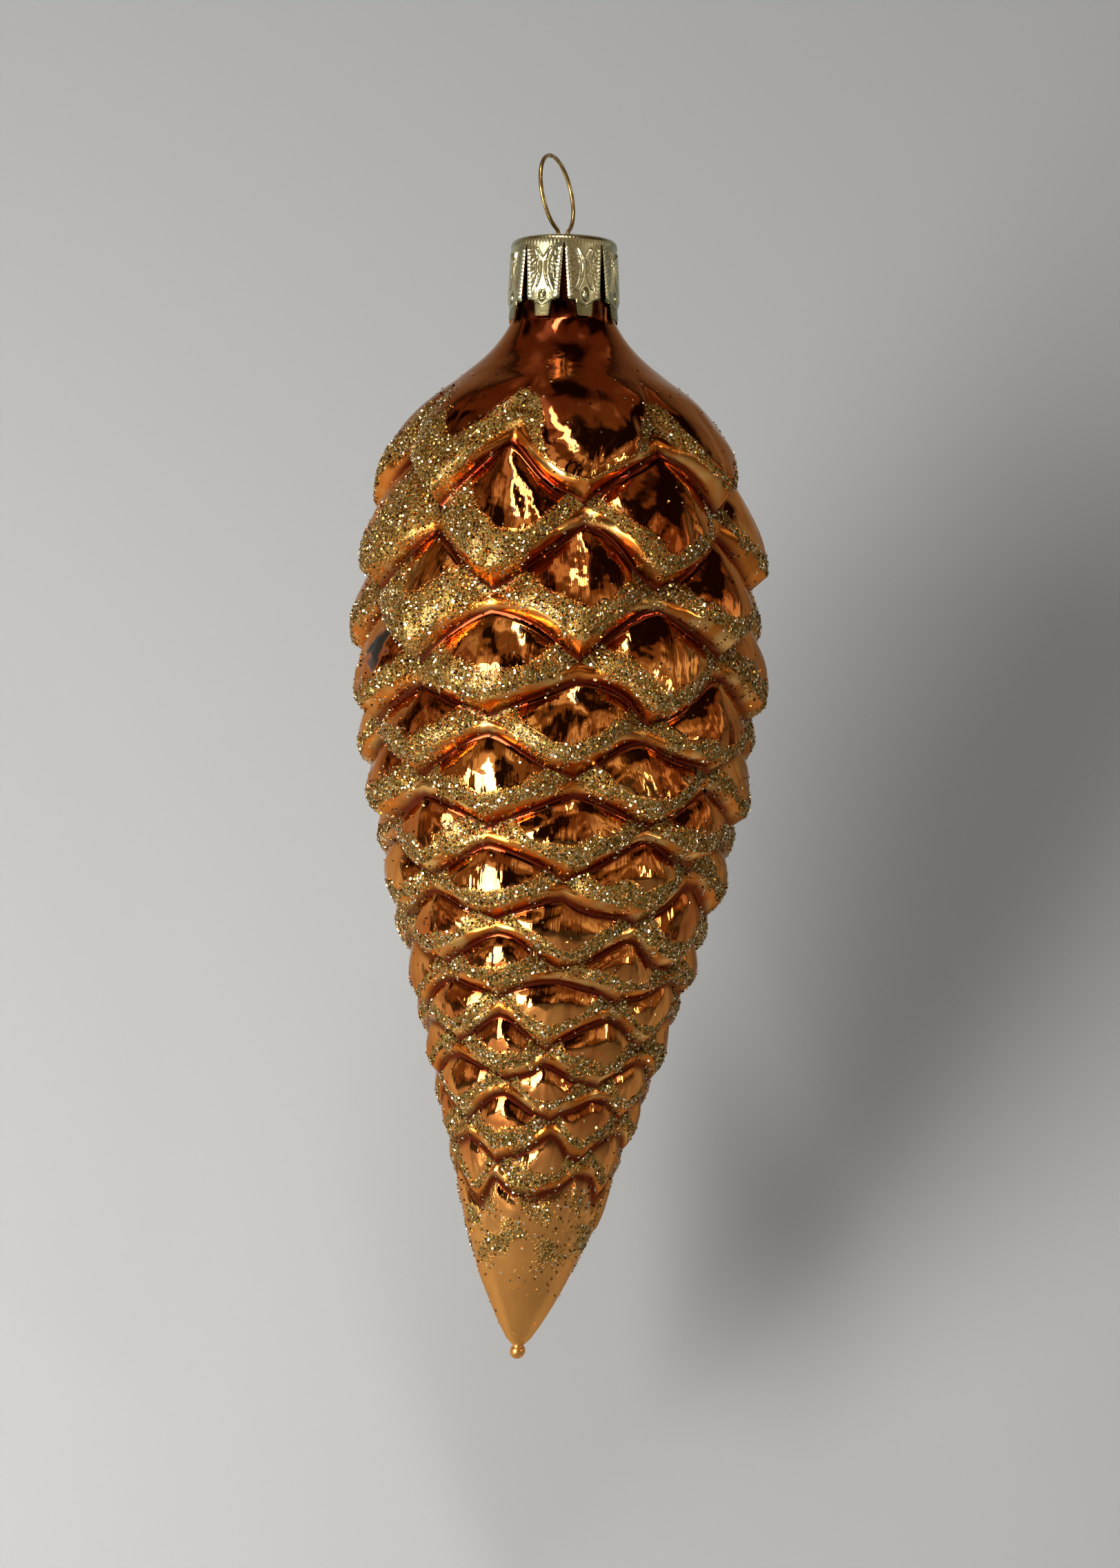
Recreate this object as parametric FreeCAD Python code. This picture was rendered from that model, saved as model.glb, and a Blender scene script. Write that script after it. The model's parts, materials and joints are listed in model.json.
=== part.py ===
import FreeCAD, Part
import math
import os

# Pine cone ornament: a mould-blown glass cone hung tip down, its stamped crown cap and a spring
# wire loop. Millimetres, Z up, front towards -Y. Everything is drawn about the centre of the
# cap's top face, with depths counted downwards from it, and then moved so that the origin is the
# inside top of the loop, where a hook bears.

# Glass body
glass_wall = 0.7
neck_radius = 5.6            # outside, at the rim
neck_foot_radius = 6.0       # and at the cap's foot
belly_radius = 22.0          # between the scales, at the widest
tip_depth = 127.2            # where the body ends and the sealed nub begins
tip_radius = 1.4
tip_drift = 3.8              # the hand-blown tip wanders this far to the left
drift_start = 68.0           # depth at which it starts to
drift_power = 1.6
nub_radius = 0.9
nub_waist = 0.6
hollow_end = 125.4           # depth at which the hollow closes
hollow_full_share = 0.7      # share of the plain tip where the wall keeps its thickness
halvings = 40                # how finely a depth is looked up on the outline

# Body outline between neck and tip: share of the way down, share of the belly radius
body_outline = [(0.037, 0.423), (0.088, 0.735), (0.166, 0.895), (0.319, 1.0),
                (0.496, 0.909), (0.699, 0.636), (0.869, 0.377), (0.971, 0.155)]

# Scales: rings of overlapping diamonds, each ring half a scale round from the last
scales_per_ring = 7
ring_count = 15
first_tip_depth = 30.6       # lip tips of the top ring
widest_pitch = 9.0           # from the first ring's tips to the second's
closest_pitch = 4.2          # what the pitch shrinks towards near the tip
pitch_decay = 0.76
lip_relief = 3.0             # how far the boldest lips stand out from the grooves
boldest_depth = 42.0
relief_fade = 72.0           # the relief fades to nothing this far from the boldest ring
band_base = 0.55             # height of the plain band under a lip: this much,
band_share = 0.17            # and this share of the ring's pitch
lip_fullness = 0.75          # relief half-way along a lip, as a share of the tip's
crown_fullness = 0.74        # relief in the middle of a scale
facets_per_side = 4          # flat facets along each side of a scale
zigzag_rows = 3
zigzag_lead = 1.0            # round edges of the hollow turn into flat facets over this depth
shoulder_steps = 3           # short cones down the plain shoulder
hollow_shoulder_steps = 2    # and down the hollow inside it
tip_steps = 4                # rows of facets down the plain tip, its bead and its hollow
bead_steps = 4
tip_sides = 2                # facets across each half-column there
hollow_steps = 2
twist_settled = 3.0          # degrees: the columns of scales start turned to the right
twist_extra = 5.5            # and straighten out on the way down
twist_run = 20.0
shoulder_depth = 16.5        # above this the glass is plain and round
plain_tip_lead = 5.25        # and again from this far below the last scales

# Cap, pressed from thin sheet, its skirt slit into lobes with a turned-out tab under each
cap_sheet = 0.3
cap_height = 9.4
cap_clearance = 0.2          # cap to neck
skirt_spring = 0.05          # how much more of it there is at the lobes' shoulders
tab_spring = 0.2             # and at the foot
cap_corner = 0.7
lobe_count = 8
slit_top = 1.1               # depths of the slit's top and of the lobe's shoulders
slit_shoulder = 7.5
slit_narrow = 0.2
slit_wide = 1.1
tab_top_width = 2.3
tab_foot_width = 1.8
corner_steps = 2

# Spring wire: a round loop over two legs that spread inside the neck
wire_radius = 0.25
wire_sides = 8               # flats round the wire, which keep its long bends light
loop_radius = 4.55           # to the middle of the wire
leg_offset = 1.4             # each leg stands this far from the cap's centre
loop_bend_radius = 0.7       # where leg turns into loop
leg_gap = 0.7                # straight wire between the cap and that bend
leg_depth = 8.2              # how far the legs reach below the cap
leg_clearance = 0.1          # between their ends and the inside of the neck
spread_bend_radius = 1.5
leg_straight = 0.5           # straight wire under the cap's sheet
wire_hole_clearance = 0.15
loop_turn = 67.0             # degrees the loop's plane is turned from facing the front
loop_lean = 9.5              # degrees the loop leans to the left in its holes

half_columns = 2 * scales_per_ring
half_step = 180.0 / scales_per_ring
up = FreeCAD.Vector(0, 0, 1)
origin = FreeCAD.Vector(0, 0, 0)


# Body outline and the drift of the tip

def outline_curve():
    """Radius against depth of the glass between its scales, as a curve in the XZ plane."""
    run = tip_depth - cap_height
    points = [FreeCAD.Vector(neck_foot_radius, 0, -cap_height)]
    for down, out in body_outline:
        points.append(FreeCAD.Vector(out * belly_radius, 0, -cap_height - down * run))
    points.append(FreeCAD.Vector(tip_radius, 0, -tip_depth))
    curve = Part.BSplineCurve()
    curve.interpolate(Points=points)
    return curve


outline = outline_curve()


def outline_parameter(depth):
    low, high = outline.FirstParameter, outline.LastParameter
    for _ in range(halvings):
        middle = (low + high) / 2
        if -outline.value(middle).z < depth:
            low = middle
        else:
            high = middle
    return (low + high) / 2


def groove_radius(depth):
    return outline.value(outline_parameter(depth)).x


def drift(depth):
    """Sideways wander of the axis. It goes on in a straight line past the last scales."""
    run = tip_depth - drift_start
    bent = max(0.0, min(depth, plain_tip_depth) - drift_start)
    slope = drift_power * tip_drift * (bent / run) ** (drift_power - 1) / run
    beyond = max(0.0, depth - plain_tip_depth)
    return -tip_drift * (bent / run) ** drift_power - slope * beyond


def twist(depth):
    return twist_settled + twist_extra * math.exp((first_tip_depth - depth) / twist_run)


def relief(depth):
    return lip_relief * max(0.0, 1 - abs(depth - boldest_depth) / relief_fade)


# Scale lattice: half-column number h and ring number k give the place of each corner

def tip_of(ring):
    depth = first_tip_depth
    if ring < 0:
        return depth - pitch(ring)
    for above in range(ring):
        depth += pitch(above)
    return depth


def pitch(ring):
    return closest_pitch + (widest_pitch - closest_pitch) * pitch_decay ** ring


def band(ring):
    return band_base + band_share * pitch(ring)


def side_depth(ring):
    """Side corners of a ring's scales, just under the tips of the ring above."""
    return tip_of(ring - 1) + band(ring - 1)


def crease_depth(ring):
    """Top corners of a ring's scales, where they come out from under the two above."""
    return side_depth(ring - 1) + band(ring - 1)


plain_tip_depth = side_depth(ring_count) + plain_tip_lead


class Spot:
    """A place on the glass: half-column, depth, and height above the groove surface."""

    def __init__(self, column, depth, proud=0.0, inset=0.0):
        self.angle = math.radians(column * half_step + twist(depth))
        self.depth = depth
        self.proud = proud
        self.radius = groove_radius(depth) + proud - inset

    def point(self):
        x = self.radius * math.sin(self.angle) + drift(self.depth)
        return FreeCAD.Vector(x, -self.radius * math.cos(self.angle), -self.depth)


def middle_spot(first, last, proud):
    column = (first.angle + last.angle) / 2
    depth = (first.depth + last.depth) / 2
    spot = Spot(0, depth, proud)
    spot.angle = column
    return spot


def edge_pole(first, last, proud):
    """Middle pole of the curve from first to last that passes over the groove by proud."""
    through = middle_spot(first, last, proud).point()
    return through * 2 - (first.point() + last.point()) / 2


def tip_spot(ring, column):
    depth = tip_of(ring)
    return Spot(column, depth, relief(depth))


def side_spot(ring, column):
    return Spot(column, side_depth(ring))


def crease_spot(ring, column):
    return Spot(column, crease_depth(ring))


def lip_pole(side, tip):
    return edge_pole(side, tip, lip_fullness * tip.proud)


def crease_pole(top, side):
    return edge_pole(top, side, 0.0)


def quadratic_patch(rows):
    surface = Part.BezierSurface()
    surface.increase(2, 2)
    for i, row in enumerate(rows):
        for j, pole in enumerate(row):
            surface.setPole(i + 1, j + 1, pole)
    return surface


def sampled(surface, rows, columns):
    """Grid of points on a patch, row by row."""
    return [[surface.value(i / rows, j / columns) for j in range(columns + 1)]
            for i in range(rows + 1)]


def flat_face(*corners):
    return Part.Face(Part.makePolygon(list(corners) + [corners[0]]))


def stitched(upper, lower):
    """Flat three-sided faces between two rows of points, which may differ in number."""
    faces = []
    i = j = 0
    while i < len(upper) - 1 or j < len(lower) - 1:
        if (j + 1) * (len(upper) - 1) <= (i + 1) * (len(lower) - 1):
            faces.append(flat_face(upper[i], lower[j + 1], lower[j]))
            j += 1
        else:
            faces.append(flat_face(upper[i], upper[i + 1], lower[j]))
            i += 1
    return faces


def facets(grid):
    faces = []
    for upper, lower in zip(grid, grid[1:]):
        faces += stitched(upper, lower)
    return faces


def centre_pole(corners, middles, through):
    """Middle pole that makes a patch pass through the given point."""
    return (through * 16 - (corners[0] + corners[1] + corners[2] + corners[3])
            - (middles[0] + middles[1] + middles[2] + middles[3]) * 2) / 4


def coons_pole(corners, middles):
    """Middle pole of the plainest patch between four edges."""
    return ((middles[0] + middles[1] + middles[2] + middles[3]) / 2
            - (corners[0] + corners[1] + corners[2] + corners[3]) / 4)


def scale_patch(ring, column):
    """Crowned face of one scale, from its creases down to its lips."""
    top = crease_spot(ring, column)
    left = side_spot(ring, column - 1)
    right = side_spot(ring, column + 1)
    tip = tip_spot(ring, column)
    corners = [top.point(), right.point(), tip.point(), left.point()]
    middles = [crease_pole(top, right), lip_pole(right, tip),
               lip_pole(left, tip), crease_pole(top, left)]
    crown = middle_spot(top, tip, crown_fullness * tip.proud).point()
    centre = centre_pole(corners, middles, crown)
    return quadratic_patch([[corners[0], middles[0], corners[1]],
                            [middles[3], centre, middles[1]],
                            [corners[3], middles[2], corners[2]]])


def curve_points(first, pole, last):
    curve = Part.BezierCurve()
    curve.setPoles([first, pole, last])
    return [curve.value(i / facets_per_side) for i in range(facets_per_side + 1)]


def band_grid(ring, column, side):
    """Plain band that steps back from one lip of a scale to the creases below it."""
    corner = side_spot(ring, column + side)
    tip = tip_spot(ring, column)
    under_tip = side_spot(ring + 1, column)
    under_corner = crease_spot(ring + 1, column + side)
    lip = curve_points(corner.point(), lip_pole(corner, tip), tip.point())
    crease = curve_points(under_corner.point(), crease_pole(under_corner, under_tip),
                          under_tip.point())
    return [lip, crease]


# Plain stretches above and below the scales

def zigzag_patch(depth, column, near, far, edge_middle):
    """Patch from the round edge at a depth down or up to a zigzag edge."""
    edge = [Spot(column, depth), Spot(column + 1, depth)]
    corners = [edge[0].point(), edge[1].point(), far.point(), near.point()]
    middles = [edge_pole(edge[0], edge[1], 0.0),
               edge_pole(edge[1], far, lip_fullness * far.proud),
               edge_middle,
               edge_pole(edge[0], near, lip_fullness * near.proud)]
    centre = coons_pole(corners, middles)
    return quadratic_patch([[corners[0], middles[0], corners[1]],
                            [middles[3], centre, middles[1]],
                            [corners[3], middles[2], corners[2]]])


def arc_face(first, last, below_last, below_first, centre):
    """Four-sided face whose first edge is a piece of the circle about the centre."""
    middle = (first + last) / 2 - centre
    radius = (first - centre).Length
    surface = Part.BezierSurface()
    surface.increase(1, 2)
    surface.setPole(1, 1, first)
    surface.setPole(1, 2, centre + middle * (radius / middle.Length) ** 2, middle.Length / radius)
    surface.setPole(1, 3, last)
    surface.setPole(2, 1, below_first)
    surface.setPole(2, 2, (below_first + below_last) / 2)
    surface.setPole(2, 3, below_last)
    return surface.toShape()


def round_edge(depth, column, steps, inset=0.0):
    """Points on the round edge at a depth, across one half-column."""
    points = []
    for step in range(steps + 1):
        points.append(Spot(column + step / steps, depth, 0.0, inset).point())
    return points


def zigzag_grid(depth, column, near, far, edge_middle):
    grid = sampled(zigzag_patch(depth, column, near, far, edge_middle),
                   zigzag_rows, facets_per_side)
    return [round_edge(depth, column, facets_per_side)] + grid[1:]


def arc_faces(arc_points, next_points):
    """Narrow faces that meet a round stretch in arcs and the flat facets in straight edges."""
    centre = up * arc_points[0].z
    faces = []
    for j in range(len(arc_points) - 1):
        faces.append(arc_face(arc_points[j], arc_points[j + 1],
                              next_points[j + 1], next_points[j], centre))
    return faces


def upper_pair(column):
    """Top ring's tip and side corner on either side of a half-column."""
    if column % 2:
        return side_spot(0, column), tip_spot(0, column + 1)
    return tip_spot(0, column), side_spot(0, column + 1)


def lower_pair(column):
    """Crease corners under the last ring on either side of a half-column."""
    if (column + ring_count) % 2:
        return side_spot(ring_count, column), crease_spot(ring_count, column + 1)
    return crease_spot(ring_count, column), side_spot(ring_count, column + 1)


def upper_zigzag():
    """The top ring's scales swell straight out of the plain shoulder."""
    faces = []
    for column in range(half_columns):
        near, far = upper_pair(column)
        middle = edge_pole(near, far, lip_fullness * max(near.proud, far.proud))
        grid = zigzag_grid(shoulder_depth, column, near, far, middle)
        faces += arc_faces(grid[0], grid[1]) + facets(grid[1:])
    return faces


def lower_zigzag():
    faces = []
    for column in range(half_columns):
        near, far = lower_pair(column)
        faces += facets(zigzag_grid(plain_tip_depth, column, near, far, crease_pole(near, far)))
    return faces


def turned(profile):
    return profile.revolve(origin, up, 360).Faces


def stations(top, bottom, count, inset=0.0):
    """Profile points down the outline, evenly spaced in depth."""
    points = []
    for step in range(count + 1):
        depth = top + (bottom - top) * step / count
        points.append(FreeCAD.Vector(groove_radius(depth) - inset, 0, -depth))
    return points


def cones(points):
    """Short conical faces turned from straight lines between profile points."""
    faces = []
    for first, last in zip(points, points[1:]):
        faces += turned(Part.makeLine(first, last))
    return faces


def neck_outside(depth):
    down = (depth - cap_sheet) / (cap_height - cap_sheet)
    return neck_radius + (neck_foot_radius - neck_radius) * down


def neck_inside(depth):
    return neck_outside(depth) - glass_wall


def neck_and_shoulder():
    """Neck under the cap, its top edge eased to fit the cap's corner, and the plain shoulder."""
    ease = cap_corner - cap_sheet
    top = [FreeCAD.Vector(neck_radius - ease, 0, -cap_sheet),
           FreeCAD.Vector(neck_radius, 0, -cap_corner)]
    return cones(top + stations(cap_height, shoulder_depth, shoulder_steps))


def hollow_neck():
    top = FreeCAD.Vector(neck_inside(cap_sheet), 0, -cap_sheet)
    steps = hollow_shoulder_steps
    return cones([top] + stations(cap_height, shoulder_depth, steps, glass_wall))


def ring_row(radius, depth, column, steps):
    """Points round the axis at a depth, across one half-column."""
    points = []
    for step in range(steps + 1):
        spot = Spot(column + step / steps, depth)
        spot.angle += math.radians(twist(plain_tip_depth) - twist(depth))
        spot.radius = radius
        points.append(spot.point())
    return points


def facet_rings(profile, steps):
    """Flat facets down a profile of (radius, depth) stations, below the last scales."""
    faces = []
    for column in range(half_columns):
        rows = [ring_row(radius, depth, column, steps) for radius, depth in profile[:-1]]
        faces += facets(rows)
        radius, depth = profile[-1]
        end = FreeCAD.Vector(drift(depth), 0, -depth)
        faces += stitched(rows[-1], [end])
    return faces


def rim():
    inside = FreeCAD.Vector(neck_inside(cap_sheet), 0, -cap_sheet)
    ease = cap_corner - cap_sheet
    return cones([inside, FreeCAD.Vector(neck_radius - ease, 0, -cap_sheet)])


def tip_stations(last_depth, count, inset=0.0):
    stops = stations(plain_tip_depth, last_depth, count, inset)
    return [(stop.x, -stop.z) for stop in stops]


def outer_tip():
    """The plain tip, then the waist and bead where the glass was pulled off and sealed."""
    profile = tip_stations(tip_depth, tip_steps)
    waist_depth = tip_depth + (tip_radius - nub_waist)
    start = math.asin(nub_waist / nub_radius)
    ball_depth = waist_depth + nub_radius * math.cos(start)
    for step in range(bead_steps + 1):
        angle = start + (math.pi - start) * step / bead_steps
        profile.append((nub_radius * math.sin(angle), ball_depth - nub_radius * math.cos(angle)))
    first = [ring_row(*profile[0], column, facets_per_side) for column in range(half_columns)]
    second = [ring_row(*profile[1], column, tip_sides) for column in range(half_columns)]
    faces = []
    for upper, lower in zip(first, second):
        faces += stitched(upper, lower)
    return faces + facet_rings(profile[1:], tip_sides)


# Hollow: the inner wall follows the scales in broad facets

def inner(spot):
    moved = Spot(0, spot.depth, spot.proud, glass_wall)
    moved.angle = spot.angle
    return moved.point()


def hollow_scales():
    faces = []
    for ring, column in scale_places():
        tip = inner(tip_spot(ring, column))
        under_tip = inner(side_spot(ring + 1, column))
        sides = []
        for side in (-1, 1):
            corner = inner(side_spot(ring, column + side))
            under_corner = inner(crease_spot(ring + 1, column + side))
            faces += facets([[corner, tip], [under_corner, under_tip]])
            sides.append(corner)
        if ring > 0:
            top = inner(crease_spot(ring, column))
            faces += facets([[top, sides[1]], [sides[0], tip]])
    return faces


def hollow_zigzags():
    """Between the round shoulder, the zigzag edges of the facets and the plain tip."""
    faces = []
    for column in range(half_columns):
        arc = round_edge(shoulder_depth, column, 1, glass_wall)
        chord = round_edge(shoulder_depth + zigzag_lead, column, 1, glass_wall)
        faces += arc_faces(arc, chord)
        faces += facets([chord, [inner(spot) for spot in upper_pair(column)]])
        last = round_edge(plain_tip_depth, column, 1, glass_wall)
        faces += facets([[inner(spot) for spot in lower_pair(column)], last])
    return faces


def hollow_tip():
    """Pointed end of the hollow, inside the plain tip."""
    last = plain_tip_depth + (hollow_end - plain_tip_depth) * hollow_full_share
    profile = tip_stations(last, hollow_steps, glass_wall) + [(0.0, hollow_end)]
    return facet_rings(profile, 1)


def scale_places():
    """Ring and half-column of every scale."""
    return [(ring, column) for ring in range(ring_count)
            for column in range(ring % 2, half_columns, 2)]


def build_glass():
    """One blown shell: outside, rim and hollow sewn into a single closed skin."""
    faces = neck_and_shoulder() + upper_zigzag() + lower_zigzag() + outer_tip()
    for ring, column in scale_places():
        if ring > 0:
            faces += facets(sampled(scale_patch(ring, column), facets_per_side, facets_per_side))
        for side in (-1, 1):
            faces += facets(band_grid(ring, column, side))
    faces += rim() + hollow_neck()
    faces += hollow_zigzags() + hollow_scales() + hollow_tip()
    skin = Part.Shell(faces)
    skin.sewShape()
    return outward(Part.Solid(skin))


def outward(solid):
    if solid.Volume < 0:
        solid.reverse()
    return solid


# Cap

def sheet_radius(depth, spring=0.0):
    """Outside of the cap's skirt, which follows the neck."""
    return neck_outside(depth) + cap_clearance + cap_sheet + spring


def foot_of_cap():
    return sheet_radius(cap_height, tab_spring)


def sheet_profile():
    """Half section of the pressed sheet: flat top, round corner, skirt and flared foot."""
    rim_radius = sheet_radius(cap_sheet)
    knee_radius = sheet_radius(slit_shoulder, skirt_spring)
    foot_radius = foot_of_cap()
    outer = [(0, 0)]
    for step in range(corner_steps + 1):
        angle = math.pi / 2 * step / corner_steps
        outer.append((rim_radius - cap_corner * (1 - math.sin(angle)),
                      cap_corner * (1 - math.cos(angle))))
    outer += [(knee_radius, slit_shoulder), (foot_radius, cap_height)]
    inside = [(foot_radius - cap_sheet, cap_height), (knee_radius - cap_sheet, slit_shoulder),
              (rim_radius - cap_sheet, cap_corner), (rim_radius - cap_corner, cap_sheet),
              (0, cap_sheet)]
    points = [FreeCAD.Vector(radius, 0, -depth) for radius, depth in outer + inside]
    return Part.Face(Part.makePolygon(points + [points[0]]))


def slit():
    """Cutter between two lobes: a narrow slit, then the open space beside the tabs."""
    foot_radius = foot_of_cap()
    lobe_pitch = 2 * math.pi * foot_radius / lobe_count
    below = cap_height + cap_sheet
    half_widths = [(slit_narrow, slit_top), (slit_wide, slit_shoulder),
                   (lobe_pitch - tab_top_width, slit_shoulder),
                   (lobe_pitch - tab_foot_width, below)]
    right = [FreeCAD.Vector(width / 2, 0, -depth) for width, depth in half_widths]
    left = [FreeCAD.Vector(-point.x, 0, point.z) for point in reversed(right)]
    outline_points = right + left + [right[0]]
    face = Part.Face(Part.makePolygon(outline_points))
    return face.extrude(FreeCAD.Vector(0, -2 * foot_radius, 0))


def loop_direction():
    angle = math.radians(loop_turn)
    return FreeCAD.Vector(math.cos(angle), math.sin(angle), 0)


def build_cap():
    cap = sheet_profile().revolve(origin, up, 360)
    cutters = []
    for lobe in range(lobe_count):
        cutter = slit()
        cutter.rotate(origin, up, lobe * 360.0 / lobe_count)
        cutters.append(cutter)
    for side in (-1, 1):
        place = loop_direction() * (side * leg_offset) - up * cap_height
        cutters.append(Part.makeCylinder(wire_radius + wire_hole_clearance, cap_height * 2, place))
    return outward(cap.cut(cutters).Solids[0])


# Wire

def leg_spread(side):
    """How far a leg's end stands from the wire's middle, so that it bears on the neck's inside."""
    turn, lean = math.radians(loop_turn), math.radians(loop_lean)
    reach = neck_inside(leg_depth) - wire_radius - leg_clearance
    swing = leg_depth * math.sin(lean)
    square = (math.cos(turn) * math.cos(lean)) ** 2 + math.sin(turn) ** 2
    linear = side * math.cos(turn) * math.cos(lean) * swing
    return (math.sqrt(linear ** 2 + square * (reach ** 2 - swing ** 2)) - linear) / square


def loop_points():
    """Middle of the loop, of the bend into it, and where the two touch."""
    bend = FreeCAD.Vector(leg_offset + loop_bend_radius, 0, leg_gap)
    reach = loop_radius + loop_bend_radius
    middle = FreeCAD.Vector(0, 0, leg_gap + math.sqrt(reach ** 2 - bend.x ** 2))
    touch = middle + (bend - middle) * (loop_radius / reach)
    return middle, bend, touch


def leg_path(spread):
    """One leg: sloping end, bend under the cap, straight through the hole, bend into the loop."""
    _, bend, touch = loop_points()
    foot = FreeCAD.Vector(leg_offset, 0, leg_gap)
    halfway = ((touch - bend) + (foot - bend)).normalize() * loop_bend_radius + bend
    hang = FreeCAD.Vector(leg_offset, 0, -cap_sheet - leg_straight)
    turn = hang + FreeCAD.Vector(spread_bend_radius, 0, 0)
    end = FreeCAD.Vector(spread, 0, -leg_depth)
    away = end - turn
    run = math.sqrt(away.Length ** 2 - spread_bend_radius ** 2)
    sine = (run * away.x - spread_bend_radius * away.z) / away.Length ** 2
    cosine = (-run * away.z - spread_bend_radius * away.x) / away.Length ** 2
    leave = turn - FreeCAD.Vector(cosine, 0, sine) * spread_bend_radius
    half = ((leave - turn) + (hang - turn)).normalize() * spread_bend_radius + turn
    return [Part.makeLine(end, leave), Part.Arc(leave, half, hang).toShape(),
            Part.makeLine(hang, foot), Part.Arc(foot, halfway, touch).toShape()]


def build_wire():
    middle, _, touch = loop_points()
    across = FreeCAD.Vector(1, 0, 0)
    leg = leg_path(leg_spread(1))
    other = [edge.mirror(origin, across) for edge in leg_path(leg_spread(-1))]
    far = FreeCAD.Vector(-touch.x, 0, touch.z)
    top = Part.Arc(touch, middle + up * loop_radius, far).toShape()
    path = Part.Wire(Part.__sortEdges__(leg + [top] + other))
    end, leave = leg[0].Vertexes[0].Point, leg[0].Vertexes[1].Point
    round_section = Part.makeCircle(wire_radius, end, leave - end)
    corners = round_section.discretize(Number=wire_sides + 1)
    wire = path.makePipeShell([Part.makePolygon(corners)], True, False)
    wire.rotate(origin, up, loop_turn)
    wire.rotate(origin, FreeCAD.Vector(0, 1, 0), -loop_lean)
    return outward(wire)


def hook_point():
    """Inside top of the loop, from the centre of the cap's top."""
    middle, _, _ = loop_points()
    height = middle.z + loop_radius - wire_radius
    lean = math.radians(loop_lean)
    return FreeCAD.Vector(-height * math.sin(lean), 0, height * math.cos(lean))


def export(name, shape):
    shape.translate(hook_point() * -1)
    shape.exportStep("parts/" + name + ".step")
    box = shape.BoundBox
    print(name, shape.isValid(), len(shape.Solids), round(shape.Volume, 1),
          [round(v, 2) for v in (box.XMin, box.XMax, box.YMin, box.YMax, box.ZMin, box.ZMax)])


os.makedirs("parts", exist_ok=True)
export("glass_cone", build_glass())
export("cap", build_cap())
export("hanger_wire", build_wire())
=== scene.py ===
import json
import math

import bmesh
import bpy
import numpy as np
from mathutils import Euler, Matrix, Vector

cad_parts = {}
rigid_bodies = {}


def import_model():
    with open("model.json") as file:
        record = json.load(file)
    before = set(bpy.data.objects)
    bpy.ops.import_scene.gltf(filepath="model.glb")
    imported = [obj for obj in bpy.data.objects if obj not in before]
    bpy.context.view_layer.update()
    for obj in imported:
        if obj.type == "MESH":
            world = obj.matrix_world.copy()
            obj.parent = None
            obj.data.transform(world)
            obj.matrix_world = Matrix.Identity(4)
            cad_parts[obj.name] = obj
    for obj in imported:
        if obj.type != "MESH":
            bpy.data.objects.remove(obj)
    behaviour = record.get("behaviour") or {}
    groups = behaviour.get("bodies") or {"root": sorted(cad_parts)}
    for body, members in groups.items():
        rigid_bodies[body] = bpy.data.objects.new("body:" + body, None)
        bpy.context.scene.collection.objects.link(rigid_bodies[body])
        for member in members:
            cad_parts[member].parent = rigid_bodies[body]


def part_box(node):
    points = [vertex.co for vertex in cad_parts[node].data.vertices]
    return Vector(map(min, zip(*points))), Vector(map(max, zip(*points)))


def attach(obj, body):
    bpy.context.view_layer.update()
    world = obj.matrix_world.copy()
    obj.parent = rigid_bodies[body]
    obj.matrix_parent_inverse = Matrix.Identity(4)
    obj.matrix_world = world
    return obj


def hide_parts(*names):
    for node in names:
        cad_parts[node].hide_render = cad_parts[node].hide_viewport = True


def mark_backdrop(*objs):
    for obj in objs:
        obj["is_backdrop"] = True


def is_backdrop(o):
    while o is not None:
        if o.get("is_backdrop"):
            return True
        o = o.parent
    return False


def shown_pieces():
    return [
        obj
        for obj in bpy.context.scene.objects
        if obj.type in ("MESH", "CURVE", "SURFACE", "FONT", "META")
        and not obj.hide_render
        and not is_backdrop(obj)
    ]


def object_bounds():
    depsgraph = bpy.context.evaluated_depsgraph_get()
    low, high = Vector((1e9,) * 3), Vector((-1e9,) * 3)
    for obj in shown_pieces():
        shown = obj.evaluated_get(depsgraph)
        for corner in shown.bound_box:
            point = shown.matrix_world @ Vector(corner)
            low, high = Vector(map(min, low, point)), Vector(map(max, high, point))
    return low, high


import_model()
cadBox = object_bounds()
mm = 0.001
hair = 1e-6         # mm, less than anything real
seamGap = 2e-3      # mm, points closer than this are joined

# The frame's origin is the inside top of the loop. Depths below are counted down from the centre
# of the cap's top, as the piece itself is drawn, so everything is moved by this much at the end.
capLow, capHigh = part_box("cap")
capTop = np.array([(capLow.x + capHigh.x) / 2, (capLow.y + capHigh.y) / 2, capHigh.z]) / mm

# everything random is drawn from these, so it falls the same way every time
rng = np.random.default_rng(7)
seeds = {"flute": 3, "fluteStrength": 5, "bulge": 7, "draw": 11, "fan": 13}
# how many waves each uneven thing is made of, and their seed
waveKinds = {"slide": (16, 51), "drop": (16, 52), "ripple": (24, 21), "clump": (20, 31),
             "worn": (16, 41), "stipple": (14, 61)}
waveForm = {"least": 0.6, "most": 1.5, "height": 0.7}

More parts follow.
